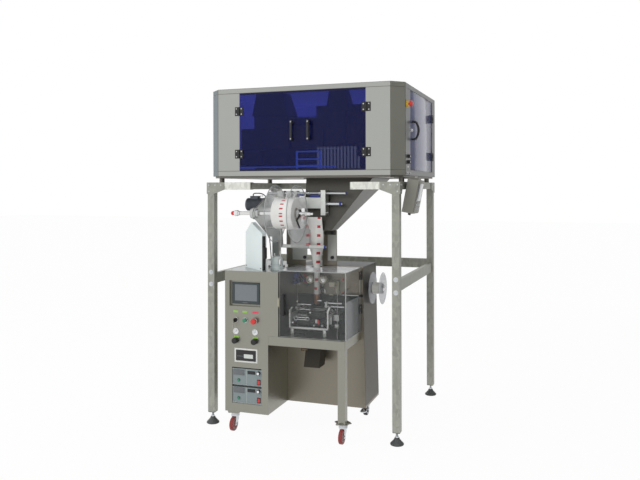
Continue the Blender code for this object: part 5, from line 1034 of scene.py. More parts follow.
def unwind_fittings():
    """Bearing, bolts, rods, brakes, blocks and covers of the stand that carries the reel."""
    plate_x = span("unwind_stand")[0].x + 0.025
    end = BEAM_END + BEAM_THICK
    bearing = Shape()
    at = (0, REEL_Y, REEL_Z)
    bearing.turned([(0.03, plate_x - 0.027), (0.033, plate_x - 0.0255), (0.033, plate_x - 0.01),
                    (0.04, plate_x - 0.0095), (0.04, plate_x - 0.0004)], at, "x", 48)
    bearing.done("reel_bearing", "aluminium")
    bolts = Shape()
    for i in range(4):
        angle = pi / 4 + i * pi / 2
        bolts.screw((plate_x - 0.0095, REEL_Y + cos(angle) * 0.0362, REEL_Z + sin(angle) * 0.0362), "x", -1,
                    0.0034, 0.003)
    for y, z in ((0.02, 1.59), (0.18, 1.6), (0.205, 1.32), (0.22, 1.42)):
        bolts.screw((plate_x, y, z), "x", -1, 0.0048, 0.004)
        bolts.screw((plate_x + 0.01, y, z), "x", 1, 0.0048, 0.004)
    for y, z in ((0.105, 1.612), (0.135, 1.612), (0.105, 1.478), (0.135, 1.478), (0.12, 1.545)):
        bolts.screw((end, y, z), "x", 1, 0.0048, 0.004)
    for x in (-0.305, -0.222):
        bolts.hexagon((x + 0.008, 0.183, 1.0965), "z", 1, 0.006, 0.005)
    bolts.done("unwind_bolts", "bright_steel")
    inner = Shape()
    inner.turned([(0.027, plate_x - 0.0276), (0.027, plate_x - 0.0268), (0.014, plate_x - 0.0268)], at, "x",
                 40)
    inner.done("bearing_seal", "brass_dark")
    caps = Shape()
    caps.rod((end + 0.134, ROD_Y, ROD_Z), (end + 0.1375, ROD_Y, ROD_Z), 0.0092, 24, 0.0008)
    caps.rod((end + 0.09, ROD_Y, LOW_ROD_Z), (end + 0.1045, ROD_Y, LOW_ROD_Z), 0.0118, 24, 0.0012)
    caps.done("rod_caps", "blue_cap")
    rods = Shape()
    rods.rod((-0.272, ROD_Y, ROD_Z), (0.121, ROD_Y, ROD_Z), 0.0083, 24)
    rods.rod((0.157, ROD_Y, ROD_Z), (end + 0.133, ROD_Y, ROD_Z), 0.0083, 24)
    rods.rod((0.157, ROD_Y, LOW_ROD_Z), (end + 0.0895, ROD_Y, LOW_ROD_Z), 0.0108, 24)
    for x in (-0.06, 0.02, 0.1):
        rods.rod((x, ROD_Y, ROD_Z), (x + 0.014, ROD_Y, ROD_Z), 0.0125, 28, 0.001)
    rods.done("unwind_rods", "zinc", slot="chromed_steel")
    blue = Shape()
    blue.box((-0.05, 0.106, REEL_Z + 0.112), (-0.01, 0.13, REEL_Z + 0.126), 0.002)
    blue.box((0.04, 0.106, REEL_Z + 0.108), (0.11, 0.13, REEL_Z + 0.122), 0.002)
    blue.done("unwind_brakes", "blue_cap")
    blocks = Shape()
    for x, wide in ((-0.2, 0.05), (-0.13, 0.034), (-0.075, 0.022)):
        blocks.box((x, 0.1, REEL_Z + 0.106), (x + wide, 0.15, REEL_Z + 0.15), 0.002)
    blocks.done("unwind_blocks", "aluminium")
    faces = Shape()
    faces.box((plate_x + 0.056, 0.1172, REEL_Z + 0.031), (0.1215, 0.1183, REEL_Z + 0.104), 0.0003, 1)
    faces.box((0.1226, 0.0872, REEL_Z - 0.014), (0.1554, 0.0883, REEL_Z + 0.154), 0.0003, 1)
    faces.done("beam_faces", "frame_bright")
    slot = Shape()
    slot.turned([(0.0065, 0), (0.0065, 0.0008)], (end, ROD_Y, REEL_Z + 0.01), "x", 24)
    slot.done("beam_hole", "black")


def unwind_motor():
    """The finned brake motor and its lead."""
    low, high = span("unwind_motor")
    y, z, x1 = (low.y + high.y) / 2, 1.53, high.x
    body = Shape()
    profile = [(0.04, low.x), (0.0445, low.x + 0.004)]
    for i in range(13):
        x = low.x + 0.01 + i * 0.009
        profile += [(0.045, x), (0.045, x + 0.0045), (0.0405, x + 0.005), (0.0405, x + 0.0085)]
    profile += [(0.044, x1 - 0.0015)]
    body.turned(profile, (0, y, z), "x", 48)
    body.box((x1 - 0.014, y - 0.0455, z - 0.0455), (x1, y + 0.0455, z + 0.0455), 0.003)
    body.box((low.x + 0.03, y - 0.025, z + 0.036), (low.x + 0.09, y + 0.025, z + 0.0595), 0.004)
    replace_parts(body.done("brake_motor", "motor_grey"), "unwind_motor")
    cable = [(low.x + 0.045, y, z + 0.0595), (low.x + 0.045, y, z + 0.07),
             (low.x + 0.06, y + 0.02, z + 0.078), (x1 - 0.03, y + 0.055, z + 0.06),
             (x1 - 0.014, y + 0.062, z + 0.01), (x1 - 0.012, y + 0.075, z - 0.15),
             (x1 + 0.002, y + 0.09, z - 0.4), (x1 + 0.002, y + 0.09, z - 0.4435)]
    swept("motor_lead", cable, 0.0035)


def dancer():
    """The dancer's sleeve, cap and pin."""
    low, high = DANCER
    at = (0, (low.y + high.y) / 2, (low.z + high.z) / 2)
    tube = Shape()
    tube.turned([(0.0105, low.x + 0.0002), (0.0118, low.x + 0.0015), (0.0118, high.x - 0.01),
                 (0.0105, high.x - 0.009)], at, "x", 36)
    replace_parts(tube.done("dancer_sleeve", "white", "dancer_roller", slot="chromed_steel"), "dancer_roller")
    cap = Shape()
    cap.turned([(0.0112, high.x - 0.0088), (0.012, high.x - 0.008), (0.012, high.x + 0.001),
                (0.01, high.x + 0.003)], at, "x", 32)
    cap.done("dancer_cap", "blue_cap", "dancer_roller")
    pin = Shape()
    pin.turned([(0.013, -0.1632), (0.013, -0.16), (0.0115, -0.1585), (0.004, -0.1585)], (0, 0.085, 1.372),
               "x", 28)
    pin.done("dancer_pin", "bright_steel", "dancer_arm")


def column_top():
    """The screws and sensor of the drive cover, and the coder drum's rings and arms."""
    low, high = span("coder_drum")
    x, y, z = (low.x + high.x) / 2, (low.y + high.y) / 2, low.z
    drum = Shape()
    drum.turned([(0.046, 0), (0.046, 0.015), (0.043, 0.016), (0.042, 0.019), (0.042, 0.038),
                 (0.0435, 0.0385), (0.0435, 0.044), (0.042, 0.0445), (0.042, 0.072), (0.0395, 0.078),
                 (0.03, 0.086), (0.028, 0.09), (0.008, 0.09)], (x, y, z), "z", 56)
    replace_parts(drum.done("coder_can", "cover_white"), "coder_drum")
    arm = Shape()
    arm.box((x - 0.006, y - 0.03, z + 0.0895), (x + 0.006, y + 0.045, z + 0.0965), 0.002)
    arm.box((x + 0.03, y - 0.04, z + 0.03), (x + 0.042, y - 0.024, z + 0.075), 0.002)
    arm.rod((x + 0.012, y + 0.03, z + 0.085), (x + 0.012, y + 0.03, z + 0.125), 0.006, 20, 0.001)
    arm.rod((x - 0.022, y + 0.01, z + 0.088), (x - 0.022, y + 0.01, z + 0.112), 0.005, 20, 0.001)
    arm.done("coder_arms", "bright_steel", slot="machined_aluminium")
    black = Shape()
    turn = (radians(-42), "Z", (-0.345, 0.062, 0))
    black.box((-0.2, 0.044, 1.09), (-0.184, 0.064, 1.32), 0.002, turn=turn)
    black.box((-0.184, 0.04, 1.17), (-0.168, 0.068, 1.245), 0.004, turn=turn)
    black.done("cover_sensor", "black")
    screws = Shape()
    for sx in (-0.468, -0.222):
        screws.screw((sx, 0.046, 1.1), "y", -1, 0.004, 0.0025)
    screws.softened(screws.mesh.verts[:], turn=turn)
    screws.done("cover_screws", "black", slot="zinc_plate")


def former_plates():
    """Plates and knobs on the wall behind the forming tube."""
    y = 0.2833
    plates = Shape()
    plates.box((-0.158, y - 0.0012, 1.135), (-0.046, y + 0.0015, 1.3488), 0.0006, 1)
    plates.box((0.106, y - 0.0012, 1.135), (0.1705, y + 0.0015, 1.3488), 0.0006, 1)
    plates.done("former_covers", "plate_light")
    knobs = Shape()
    for x, z in ((0.1415, 1.33), (0.1405, 1.158), (-0.064, 1.155), (-0.125, 1.325)):
        knobs.turned([(0.0085, 0.001), (0.0085, -0.0015), (0.0115, -0.002), (0.0115, -0.012),
                      (0.0095, -0.0145), (0.004, -0.015)], (x, y, z), "y", 24)
    knobs.done("former_knobs", "black")


def film_sheet(name, rows, look):
    """A sheet of film through rows of points, with the length of its middle from row to row."""
    mesh = bmesh.new()
    made = [[mesh.verts.new(point) for point in row] for row in rows]
    for low, high in zip(made, made[1:]):
        for j in range(len(low) - 1):
            mesh.faces.new((low[j], low[j + 1], high[j + 1], high[j]))
    data = mesh_data(name, mesh, LOOKS[look])
    data.shade_smooth()
    middle = [Vector(row[len(row) // 2]) for row in rows]
    length = sum((b - a).length for a, b in zip(middle, middle[1:]))
    return linked(name, data, ORIGIN), round(length, 3)


def web_rows():
    """Rows of the web from the top down: flat above the former, then wrapped into a tube round it."""
    top, foot, wrapped = 1.447, 0.9115, 1.075
    tube, flat = 0.0205, 0.093  # radius of the tube, and the flat web's place in front of its middle
    for i in range(61):
        z = top + (foot - top) * (i / 60)
        bend = min(1, max(0, (top - z) / (top - wrapped)))
        radius = tube / max(0.02, bend ** 1.7)
        front = FORMER_Y - flat + (flat - tube) * bend
        row = []
        for j in range(49):
            angle = WEB_WIDE / 2 / radius * (2 * j / 48 - 1)
            lift = 0.0006 * sin(7 * j / 48 * pi) * (1 - bend)
            row.append((FORMER_X + radius * sin(angle), front + radius * (1 - cos(angle)) - lift, z))
        yield row


def lead_rows():
    """Rows of the length that runs from the roll down round the dancer and up again."""
    y, z, reach = (DANCER[0].y + DANCER[1].y) / 2, (DANCER[0].z + DANCER[1].z) / 2, 0.0145
    points = [(REEL_Y + 0.101, REEL_Z - 0.01), (REEL_Y + 0.102, REEL_Z - 0.03)]
    points += [(y - reach, z + 0.16 - 0.16 * i / 6) for i in range(1, 7)]
    points += [(y - reach * cos(a), z - reach * sin(a)) for a in (pi * k / 10 for k in range(1, 11))]
    points += [(y + reach, z + 0.02 + 0.03 * i) for i in range(6)]
    return [[(x, *point) for x in (-0.1, -0.055, -0.01, 0.036)] for point in points]


def film():
    """The web on the former and the length round the dancer, and the stick being filled."""
    web, path = film_sheet("film_web_sheet", list(web_rows()), "film_print")
    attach(web, "machine")
    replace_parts(web, "film_web")
    # Its film is greyer than the web's: painted shade.
    lead, path = film_sheet("film_lead_sheet", lead_rows(), "film_lead_print")
    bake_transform(lead)
    stick = Shape()
    stick.turned([(0.0196, 0.845), (0.02, 0.846), (0.02, 0.9105)], (FORMER_X, FORMER_Y, 0), "z", 36)
    stick.done("filled_stick", "copper")


# ---- sealing station ----


def pull_rollers():
    """Tyres and hubs of the rollers that pull the tube of film."""
    for name in ("left", "right"):
        low, high = span("pull_roller_" + name)
        at = ((low.x + high.x) / 2, 0, (low.z + high.z) / 2)
        wheel = Shape()
        wheel.turned([(0.024, low.y + 0.008), (0.0268, low.y + 0.011), (0.0268, low.y + 0.045),
                      (0.024, low.y + 0.048), (0.015, low.y + 0.048)], at, "y", 40)
        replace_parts(wheel.done("pull_tyre_" + name, "cream", "pull_roller_" + name, slot="black_rubber"),
                    "pull_roller_" + name)
        hub = Shape()
        hub.turned([(0.0165, low.y + 0.0085), (0.0165, low.y + 0.005), (0.013, low.y + 0.003),
                    (0.007, low.y + 0.003), (0.007, low.y + 0.0002), (0.0055, low.y)], at, "y", 32)
        hub.turned([(0.0068, low.y + 0.048), (0.0068, high.y)], at, "y", 24)
        hub.done("pull_hub_" + name, "chrome", "pull_roller_" + name)


def jaw_details():
    """The bright frame round the sealing jaws, with rods, springs, cam track, heater and housing."""
    low, high = span("jaw_frame")
    front, back = low.y, high.y
    left, right, foot = low.x, high.x, low.z - 0.032
    cage = Shape()
    for x0, x1 in ((left, left + 0.011), (right - 0.011, right)):
        cage.box((x0, front, foot), (x1, front + 0.022, 0.824), 0.0015)
        cage.box((x0, front + 0.022, low.z), (x1, back, 0.8), 0.0015)
    cage.box((left, front, foot), (right, front + 0.022, foot + 0.013), 0.0015)
    cage.box((left, back - 0.012, low.z), (right, back, low.z + 0.012), 0.0015)
    lean_left = [(left, 0.824), (left + 0.011, 0.824), (left + 0.027, 0.846), (left + 0.016, 0.846)]
    lean_right = [(right - 0.013, 0.824), (right, 0.824), (right + 0.015, 0.858), (right + 0.001, 0.858)]
    cage.prism(lean_left, "y", front, front + 0.022, 0.001, 1)
    cage.prism(lean_right, "y", front, front + 0.022, 0.001, 1)
    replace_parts(cage.done("seal_frame", "frame_bright"), "jaw_frame")
    steel, bright, dark = Shape(), Shape(), Shape()
    for x in (left + 0.0055, right - 0.0055):
        for z in (foot + 0.008, 0.775, 0.812):
            bright.screw((x, front, z), "y", -1, 0.0038, 0.0026)
    for x0, x1, z, y in ((-0.06, 0.048, 0.8505, 0.104), (-0.06, 0.042, 0.816, 0.1),
                         (0.142, 0.268, 0.87, 0.1), (0.145, 0.285, 0.8465, 0.1)):
        bright.rod((x0, y, z), (x1, y, z), 0.0062, 20, 0.001)
    bright.rod((-0.047, 0.08, 0.872), (-0.047, 0.11, 0.872), 0.007, 24, 0.002)
    bright.rod((0.105, 0.07, 0.888), (0.135, 0.07, 0.888), 0.005, 20, 0.001)
    for z, x0, x1, y in ((0.777, -0.028, 0.052, 0.02), (0.763, -0.022, 0.046, 0.018)):
        bright.rod((x0, y, z), (x1, y, z), 0.004, 16, 0.001)
    for i in range(8):
        bright.hoop([(0.0062, -0.001), (0.0075, -0.001), (0.0075, 0.001), (0.0062, 0.001)],
                    (-0.02 + i * 0.009, 0.024, 0.792), "x", 18)
    for x, reach in ((-0.03, 0.015), (0.052, 0.012)):
        bright.hoop([(reach - 0.003, 0), (reach, 0), (reach, 0.006), (reach - 0.003, 0.006)],
                    (x, 0.016, 0.772), "y", 28)
    bright.rod((0.07, 0.02, 0.812), (0.07, 0.075, 0.812), 0.006, 20, 0.001)
    bright.rod((-0.052, 0.01, 0.742), (-0.052, 0.04, 0.742), 0.006, 20, 0.001)
    steel.boxes(
        ((-0.045, 0.04, 0.832), (-0.03, 0.13, 0.846), 0.002),
        ((0.15, 0.09, 0.838), (0.168, 0.112, 0.878), 0.002),
        ((0.205, 0.03, 0.735), (0.217, 0.08, 0.79), 0.002),
        ((0.222, 0.05, 0.76), (0.262, 0.12, 0.8), 0.003),
        ((0.235, 0.04, 0.715), (0.262, 0.06, 0.742), 0.002))
    for x in (0.09, 0.148):
        steel.box((x, 0.02, 0.722), (x + 0.012, 0.06, 0.734), 0.002)
    dark.boxes(
        ((-0.05, 0.04, 0.722), (0.178, 0.15, 0.768), 0.004),
        ((-0.03, 0.06, 0.77), (0.16, 0.148, 0.812), 0.006),
        ((0.222, 0.13, 0.664), (0.3, 0.235, 0.83), 0.004),
        ((-0.05, 0.01, 0.6605), (0.04, 0.06, 0.688), 0.003))
    dark.done("jaw_housing", "station_dark")
    steel.done("jaw_brackets", "aluminium")
    bright.done("jaw_rods", "chrome")
    feet = Shape()
    for x in (left + 0.01, right - 0.04):
        feet.box((x, front + 0.004, 0.6602), (x + 0.022, front + 0.02, foot - 0.0002), 0.002)
    feet.done("jaw_feet", "frame_bright")
    hot, cold = Shape(), Shape()
    hot.box((0.124, 0.006, 0.74), (0.138, 0.016, 0.768), 0.004)
    cold.box((0.11, 0.006, 0.746), (0.124, 0.016, 0.772), 0.004)
    hot.done("heater_plug", "red")
    cold.done("heater_socket", "white")


def station_details():
    """Air fittings, wires, blocks and plates on the cabinet's front behind the guard."""
    blue, steel, plates, red = Shape(), Shape(), Shape(), Shape()
    wall = 0.2597
    dark = Shape()
    dark.box((-0.108, wall - 0.003, 0.6615), (0.346, wall - 0.0004, 0.902), 0.0006, 1)
    dark.done("station_back", "station_dark", slot="dark_stainless")
    blue.box((-0.125, 0.205, 1.008), (-0.09, wall, 1.05), 0.004)
    blue.box((-0.105, 0.15, 0.978), (-0.088, 0.206, 1.002), 0.003)
    blue.rod((-0.098, 0.215, 0.99), (-0.098, wall, 0.99), 0.014, 24, 0.002)
    steel.rod((-0.088, 0.185, 0.978), (-0.06, 0.185, 0.978), 0.0075, 24, 0.002)
    for x, z, reach, y in ((0.076, 1.009, 0.0245, 0.252), (0.078, 0.9244, 0.0215, 0.25),
                           (0.0716, 0.9662, 0.012, 0.252)):
        steel.hoop([(reach - 0.006, 0), (reach, 0), (reach, 0.007), (reach - 0.006, 0.007)], (x, y, z), "y",
                   32)
        steel.rod((x, y - 0.004, z), (x, wall, z), 0.007, 20, 0.001)
    steel.rod((-0.06, 0.236, 0.995), (-0.06, wall, 0.995), 0.011, 24, 0.002)
    plates.boxes(
        ((0.136, 0.236, 0.96), (0.2, wall, 1.0), 0.003),
        ((0.176, 0.24, 0.915), (0.2, wall, 0.962), 0.003),
        ((0.15, 0.176, 0.968), (0.19, 0.238, 1.0), 0.003),
        ((0.13, 0.24, 0.9), (0.16, wall, 0.908), 0.001))
    plates.done("station_plates", "cream", slot="machined_aluminium")
    blue.done("air_fittings", "blue_cap")
    steel.done("station_bosses", "chrome")
    wires = [("red", 0, 0), ("wire_blue", 0.012, -0.01), ("copper", 0.02, 0.008), ("black", -0.01, 0.016),
             ("green_wire", 0.006, -0.02), ("red", 0.026, 0.018)]
    for i, (look, dx, dz) in enumerate(wires):
        points = [(-0.09 + dx, 0.252, 1.02 + dz), (-0.072 + dx, 0.222, 1.03 + dz * 0.8),
                  (-0.05 + dx, 0.21, 1.004 + dz), (-0.034 + dx, 0.214, 0.984 + dz),
                  (-0.02 + dx * 0.5, 0.232, 0.99 + dz), (-0.012 + dx * 0.5, 0.25, 1.008 + dz * 0.5)]
        swept(f"station_wire_{i}", points, 0.003, look)
    swept("air_hose", [(0.04, 0.245, 0.975), (0.034, 0.225, 0.95), (0.03, 0.23, 0.92), (0.034, 0.25, 0.906)],
          0.003)
    swept("heater_lead", [(0.127, 0.012, 0.77), (0.135, 0.03, 0.8), (0.17, 0.06, 0.83), (0.2, 0.12, 0.88),
                          (0.24, 0.2, 0.92), (0.26, wall, 0.95)], 0.003)
    for x, z in ((0.226, 1.0105), (0.229, 0.9194)):
        red.turned([(0.0075, 0), (0.0075, -0.006), (0.0055, -0.008)], (x, 0.2595, z), "y", 24)
    red.done("lamp_buttons", "red")


def guard():
    """The clear guard over the sealing station: panes, lid, bright edges, grip, hinges and latch."""
    low, high = span("seal_guard")
    left, right = low.x, high.x - 0.01
    front, back, bottom, top = low.y + 0.034, 0.244, low.z, high.z
    pane = 0.005
    panes = Shape()
    panes.box((left, front, bottom), (right, front + pane, top), 0.0006, 1)
    panes.box((right - pane, front + pane + 0.0002, 0.9062), (right, back, top - pane - 0.0002), 0.0006, 1)
    # The side pane's lower part is drawn greyer and less clear than the rest.
    haze = Shape()
    haze.box((right - pane, front + pane + 0.0002, bottom), (right, back, 0.906), 0.0006, 1)
    haze.done("guard_side_pane", "guard_side_greyer", "seal_guard")
    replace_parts(panes.done("guard_panes", "guard_clear", "seal_guard"), "seal_guard")
    # The lid's lighter look is a painted sheen.
    lid = Shape()
    hole, y0 = 0.039, FORMER_Y - 0.055  # half the width of the tube's hole, and its front edge
    parts = [(left, right, front + pane + 0.0002, y0), (left, FORMER_X - hole, y0, back),
             (FORMER_X + hole, right, y0, back)]
    for x0, x1, ya, yb in parts:
        lid.box((x0, ya, top - pane), (x1, yb, top))
    lid.done("guard_lid", "guard_lid", "seal_guard")
    edge = Shape()
    bead = 0.0008
    edge.box((right - pane, front - bead, bottom), (right + bead, front + pane, top + bead), 0.0006, 1)
    edge.box((left, front - bead * 0.6, top - pane), (right - pane, front + pane, top + bead), 0.0006, 1)
    edge.box((right - pane - bead, front + pane, top - pane - bead), (right + bead, back, top + bead),
             0.0006, 1)
    edge.box((left, front - bead * 0.6, bottom), (right - pane, front + pane * 0.5, bottom + 0.0025), 0.0004,
             1)
    edge.box((right - pane * 0.5, front + pane, bottom), (right + bead, back, bottom + 0.0025), 0.0004, 1)
    edge.box((right - pane, back - 0.002, bottom), (right + bead, back + bead, top), 0.0004, 1)
    edge.box((left - bead, front, bottom), (left + 0.0015, front + pane, top), 0.0004, 1)
    edge.box((0.2925, front + 0.001, bottom + 0.01), (0.295, front + 0.0045, top - 0.105), 0.0004, 1)
    edge.done("guard_edges", "guard_edge", "seal_guard")
    grip = Shape()
    x, z0, z1 = left + 0.032, 0.805, 0.945
    grip.box((x - 0.013, front - 0.034, z0), (x + 0.013, front - 0.018, z1), 0.007, 3)
    for z in (z0 + 0.001, z1 - 0.023):
        grip.box((x - 0.012, front - 0.024, z), (x + 0.012, front + 0.0003, z + 0.022), 0.003)
    grip.done("guard_grip", "black", "seal_guard")
    axis = (right + 0.0055, 0.251)
    moving, fixed, screws = Shape(), Shape(), Shape()
    for z in (0.815, 1.045):
        moving.box((right + 0.0003, 0.216, z - 0.028), (right + 0.005, 0.246, z + 0.028), 0.0012)
        moving.box((right - 0.001, 0.244, z - 0.0097), (axis[0], 0.256, z + 0.0097))
        moving.rod((*axis, z - 0.0098), (*axis, z + 0.0098), 0.0055, 20, 0.0006)
        for sign in (-1, 1):
            z0, z1 = sorted((z + sign * 0.0103, z + sign * 0.03))
            fixed.rod((*axis, z0), (*axis, z1), 0.0055, 20, 0.0006)
            fixed.box((axis[0] - 0.003, 0.2515, z0), (axis[0] + 0.007, 0.264, z1), 0.001)
            screws.screw((right + 0.005, 0.229, z + sign * 0.017), "x", 1, 0.0038, 0.002)
    moving.done("guard_hinge_door", "black", "seal_guard")
    fixed.done("guard_hinge_frame", "black")
    screws.done("guard_hinge_screws", "bright_steel", "seal_guard")
    rod = Shape()
    rod.rod((0.215, 0.23, 0.908), (right - 0.0055, 0.23, 0.908), 0.0048, 20, 0.001)
    rod.done("guard_stay", "chrome")
    latch = Shape()
    latch.turned([(0.005, -0.0005), (0.005, 0.008), (0.0085, 0.01), (0.0095, 0.02), (0.008, 0.027)],
                 (right, 0.229, 0.908), "x", 24)
    latch.done("guard_latch", "black", "seal_guard")


# ---- side pieces ----


def thread_reel():
    """The reel of tear thread on the column's side."""
    low, high = span("thread_reel")
    wall = low.x + 0.02
    near, far = wall + 0.02, wall + 0.095
    at = (0, (low.y + high.y) / 2, (low.z + high.z) / 2)
    hub = Shape()
    turns = [(0.04 - 0.0007 * (i % 2), near + 0.007 + i * 0.003) for i in range(21)]
    hub.turned([(0.0365, near + 0.003), (0.04, near + 0.006), *turns, (0.04, far - 0.006),
                (0.0365, far - 0.003)], at, "x", 56)
    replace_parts(hub.done("thread_drum", "thread_white", "thread_reel"), "thread_reel")
    for name, x0, x1 in (("near", near, near + 0.003), ("far", far - 0.003, far)):
        disc = Shape()
        disc.turned([(0.016, x0), (0.111, x0), (0.112, x0 + 0.001), (0.112, x1 - 0.001), (0.111, x1),
                     (0.016, x1)], at, "x", 72)
        disc.done("thread_disc_" + name, "thread_disc", "thread_reel")
    metal = Shape()
    metal.turned([(0.0078, wall - 0.019), (0.0078, wall + 0.0085), (0.016, wall + 0.009),
                  (0.016, near - 0.0002)], at, "x", 32)
    metal.turned([(0.02, far + 0.0002), (0.02, far + 0.005), (0.014, far + 0.006), (0.012, far + 0.0118),
                  (0.005, far + 0.012)], at, "x", 6)
    metal.done("thread_shaft", "bright_steel", "thread_reel", slot="chromed_steel")
    holes = Shape()
    for i in range(3):
        angle = 2 * pi * i / 3 + 0.5
        centre = Vector(at) + Vector((0, cos(angle), sin(angle))) * 0.03
        holes.turned([(0.0075, far), (0.0075, far + 0.0006)], centre, "x", 20)
    holes.done("thread_holes", "black", "thread_reel")


def castors():
    """Treads, hubs and crowns of the castors, and the leg's screw foot."""
    for corner in ("front_left", "front_right", "rear_left", "rear_right"):
        node, fork = "castor_wheel_" + corner, "castor_fork_" + corner
        low, high = span(node)
        at = ((low.x + high.x) / 2, (low.y + high.y) / 2, (low.z + high.z) / 2)
        tread = Shape()
        tread.turned([(0.0345, -0.013), (0.044, -0.0118), (0.0462, -0.0085), (0.0465, 0), (0.0462, 0.0085),
                      (0.044, 0.0118), (0.0345, 0.013)], at, "x", 56)
        look = "rubber" if corner == "rear_right" else "castor_tread"
        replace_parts(tread.done("castor_tread_" + corner, look, node, slot="castor_red"), node)
        hub = Shape()
        for side in (-1, 1):
            hub.turned([(0.0343, side * 0.012), (0.0343, side * 0.0136), (0.03, side * 0.014),
                        (0.026, side * 0.0118), (0.014, side * 0.0118), (0.011, side * 0.014),
                        (0.006, side * 0.0143)], at, "x", 40)
        hub.done("castor_hub_" + corner, "zinc" if corner == "rear_right" else "hub_grey", node)
        pin = span(fork)
        x, y = (pin[0].x + pin[1].x) / 2, at[1] + 0.028
        crown = Shape()
        crown.turned([(0.025, 0.0925), (0.029, 0.0955), (0.0295, 0.101), (0.0285, 0.1055), (0.024, 0.108),
                      (0.027, 0.1095), (0.03, 0.113), (0.03, 0.1175), (0.028, 0.1198)], (x, y, 0), "z", 48)
        for side in (-1, 1):
            crown.hexagon((at[0] + side * 0.0178, at[1], at[2]), "x", side, 0.0075, 0.0055)
        crown.done("castor_crown_" + corner, "zinc", fork)
        plate = Shape()
        for dx, dy in ((-1, -1), (1, -1), (1, 1), (-1, 1)):
            plate.hexagon((x + dx * 0.031, y + dy * 0.031, 0.1203), "z", -1, 0.0045, 0.004)
        plate.done("castor_bolts_" + corner, "zinc")
    foot = Shape()
    x, y = 0.3, 0.5
    foot.turned([(0.022, 0), (0.025, 0.003), (0.025, 0.008), (0.016, 0.018), (0.012, 0.026)], (x, y, 0.03),
                "z", 36)
    foot.turned([(0.0062 + 0.001 * (i % 2), 0.054 + i * 0.0015) for i in range(54)], (x, y, 0), "z", 20)
    foot.turned([(0.012, 0.126), (0.012, 0.1345)], (x, y, 0), "z", 6)
    foot.done("leg_screw", "zinc")


CABINET_TOP = span("seal_guard")[1].z  # the guard ends level with it


def table_trim():
    """The chute, the seams, skins of painted shade on the cabinet's side and top and of painted highlight on
    the column's top, and the leg's plate.
    """
    half, mouth, end, lean = 0.055, 0.055, 0.43, 0.06
    chute = Shape()
    chute.prism([(FORMER_Y - mouth - 0.0015, 0.656), (FORMER_Y - mouth - 0.0015, 0.5995),
                 (FORMER_Y - mouth - lean - 0.0015, end), (FORMER_Y - mouth - lean + 0.0003, end),
                 (FORMER_Y - mouth + 0.0003, 0.5995), (FORMER_Y - mouth + 0.0003, 0.656)], "x",
                FORMER_X - half, FORMER_X + half)
    for x0, x1 in ((FORMER_X - half - 0.0012, FORMER_X - half + 0.0003),
                   (FORMER_X + half - 0.0003, FORMER_X + half + 0.0012)):
        chute.prism([(FORMER_Y - mouth, 0.656), (FORMER_Y - mouth, 0.5995), (FORMER_Y - mouth - lean, end),
                     (FORMER_Y + mouth - lean, end), (FORMER_Y + mouth, 0.5995), (FORMER_Y + mouth, 0.656)],
                    "x", x0, x1)
    chute.done("chute_cover", "chute_dark")
    cabinet = span("rear_cabinet")
    side, top = Shape(), Shape()
    foot_x, base = cabinet[1].x, cabinet[0].z + 0.03
    top_x = foot_x - 0.02
    # A skin of darker steel on the cabinet's side: painted shade.
    side.prism([(foot_x - 0.001, base), (foot_x + 0.0005, base), (top_x + 0.001, CABINET_TOP - 0.001),
                (top_x - 0.0004, CABINET_TOP - 0.001)], "y", cabinet[0].y + 0.0145, cabinet[1].y - 0.001)
    side.done("cabinet_side", "cabinet_side_painted_shade")
    # A skin of darker steel on the cabinet's top: painted shade.
    top.box((-0.112, 0.296, CABINET_TOP - 0.0004),
            (top_x - 0.001, cabinet[1].y - 0.001, CABINET_TOP + 0.001), 0.0004, 1)
    top.done("cabinet_top_painted_shade", "cabinet_top")
    # A skin of lighter steel over the column's top: painted highlight.
    cover = Shape()
    cover.box(COLUMN[0] + Vector((0.0015, 0.0015, COLUMN[1].z - COLUMN[0].z - 0.0004)),
              COLUMN[1] - Vector((0.0015, 0.0015, -0.0004)), 0.0003, 1)
    cover.done("column_top_painted_highlight", "column_top_painted_highlight")
    plate = Shape()
    x, y, reach = 0.322, -0.053, 0.056
    plate.prism([(x - reach, y), (x, y - reach), (x + reach, y), (x, y + reach)], "z", 0.1302, 0.1335,
                0.0008, 1)
    plate.done("leg_plate", "cabinet_steel")
    seam = Shape()
    seam.box((-0.187, FACE - 0.0008, 0.601), (0.3465, FACE + 0.001, 0.659), 0.0006, 1)
    seam.box((0.3465, FACE + 0.002, 0.601), (0.3478, 0.258, 0.659), 0.0004, 1)
    seam.done("table_apron", "cabinet_steel")
    bolt = Shape()
    bolt.hexagon((0.322, FACE + 0.05, 0.3), "y", 1, 0.007, 0.005)
    bolt.done("leg_bolt", "bright_steel")


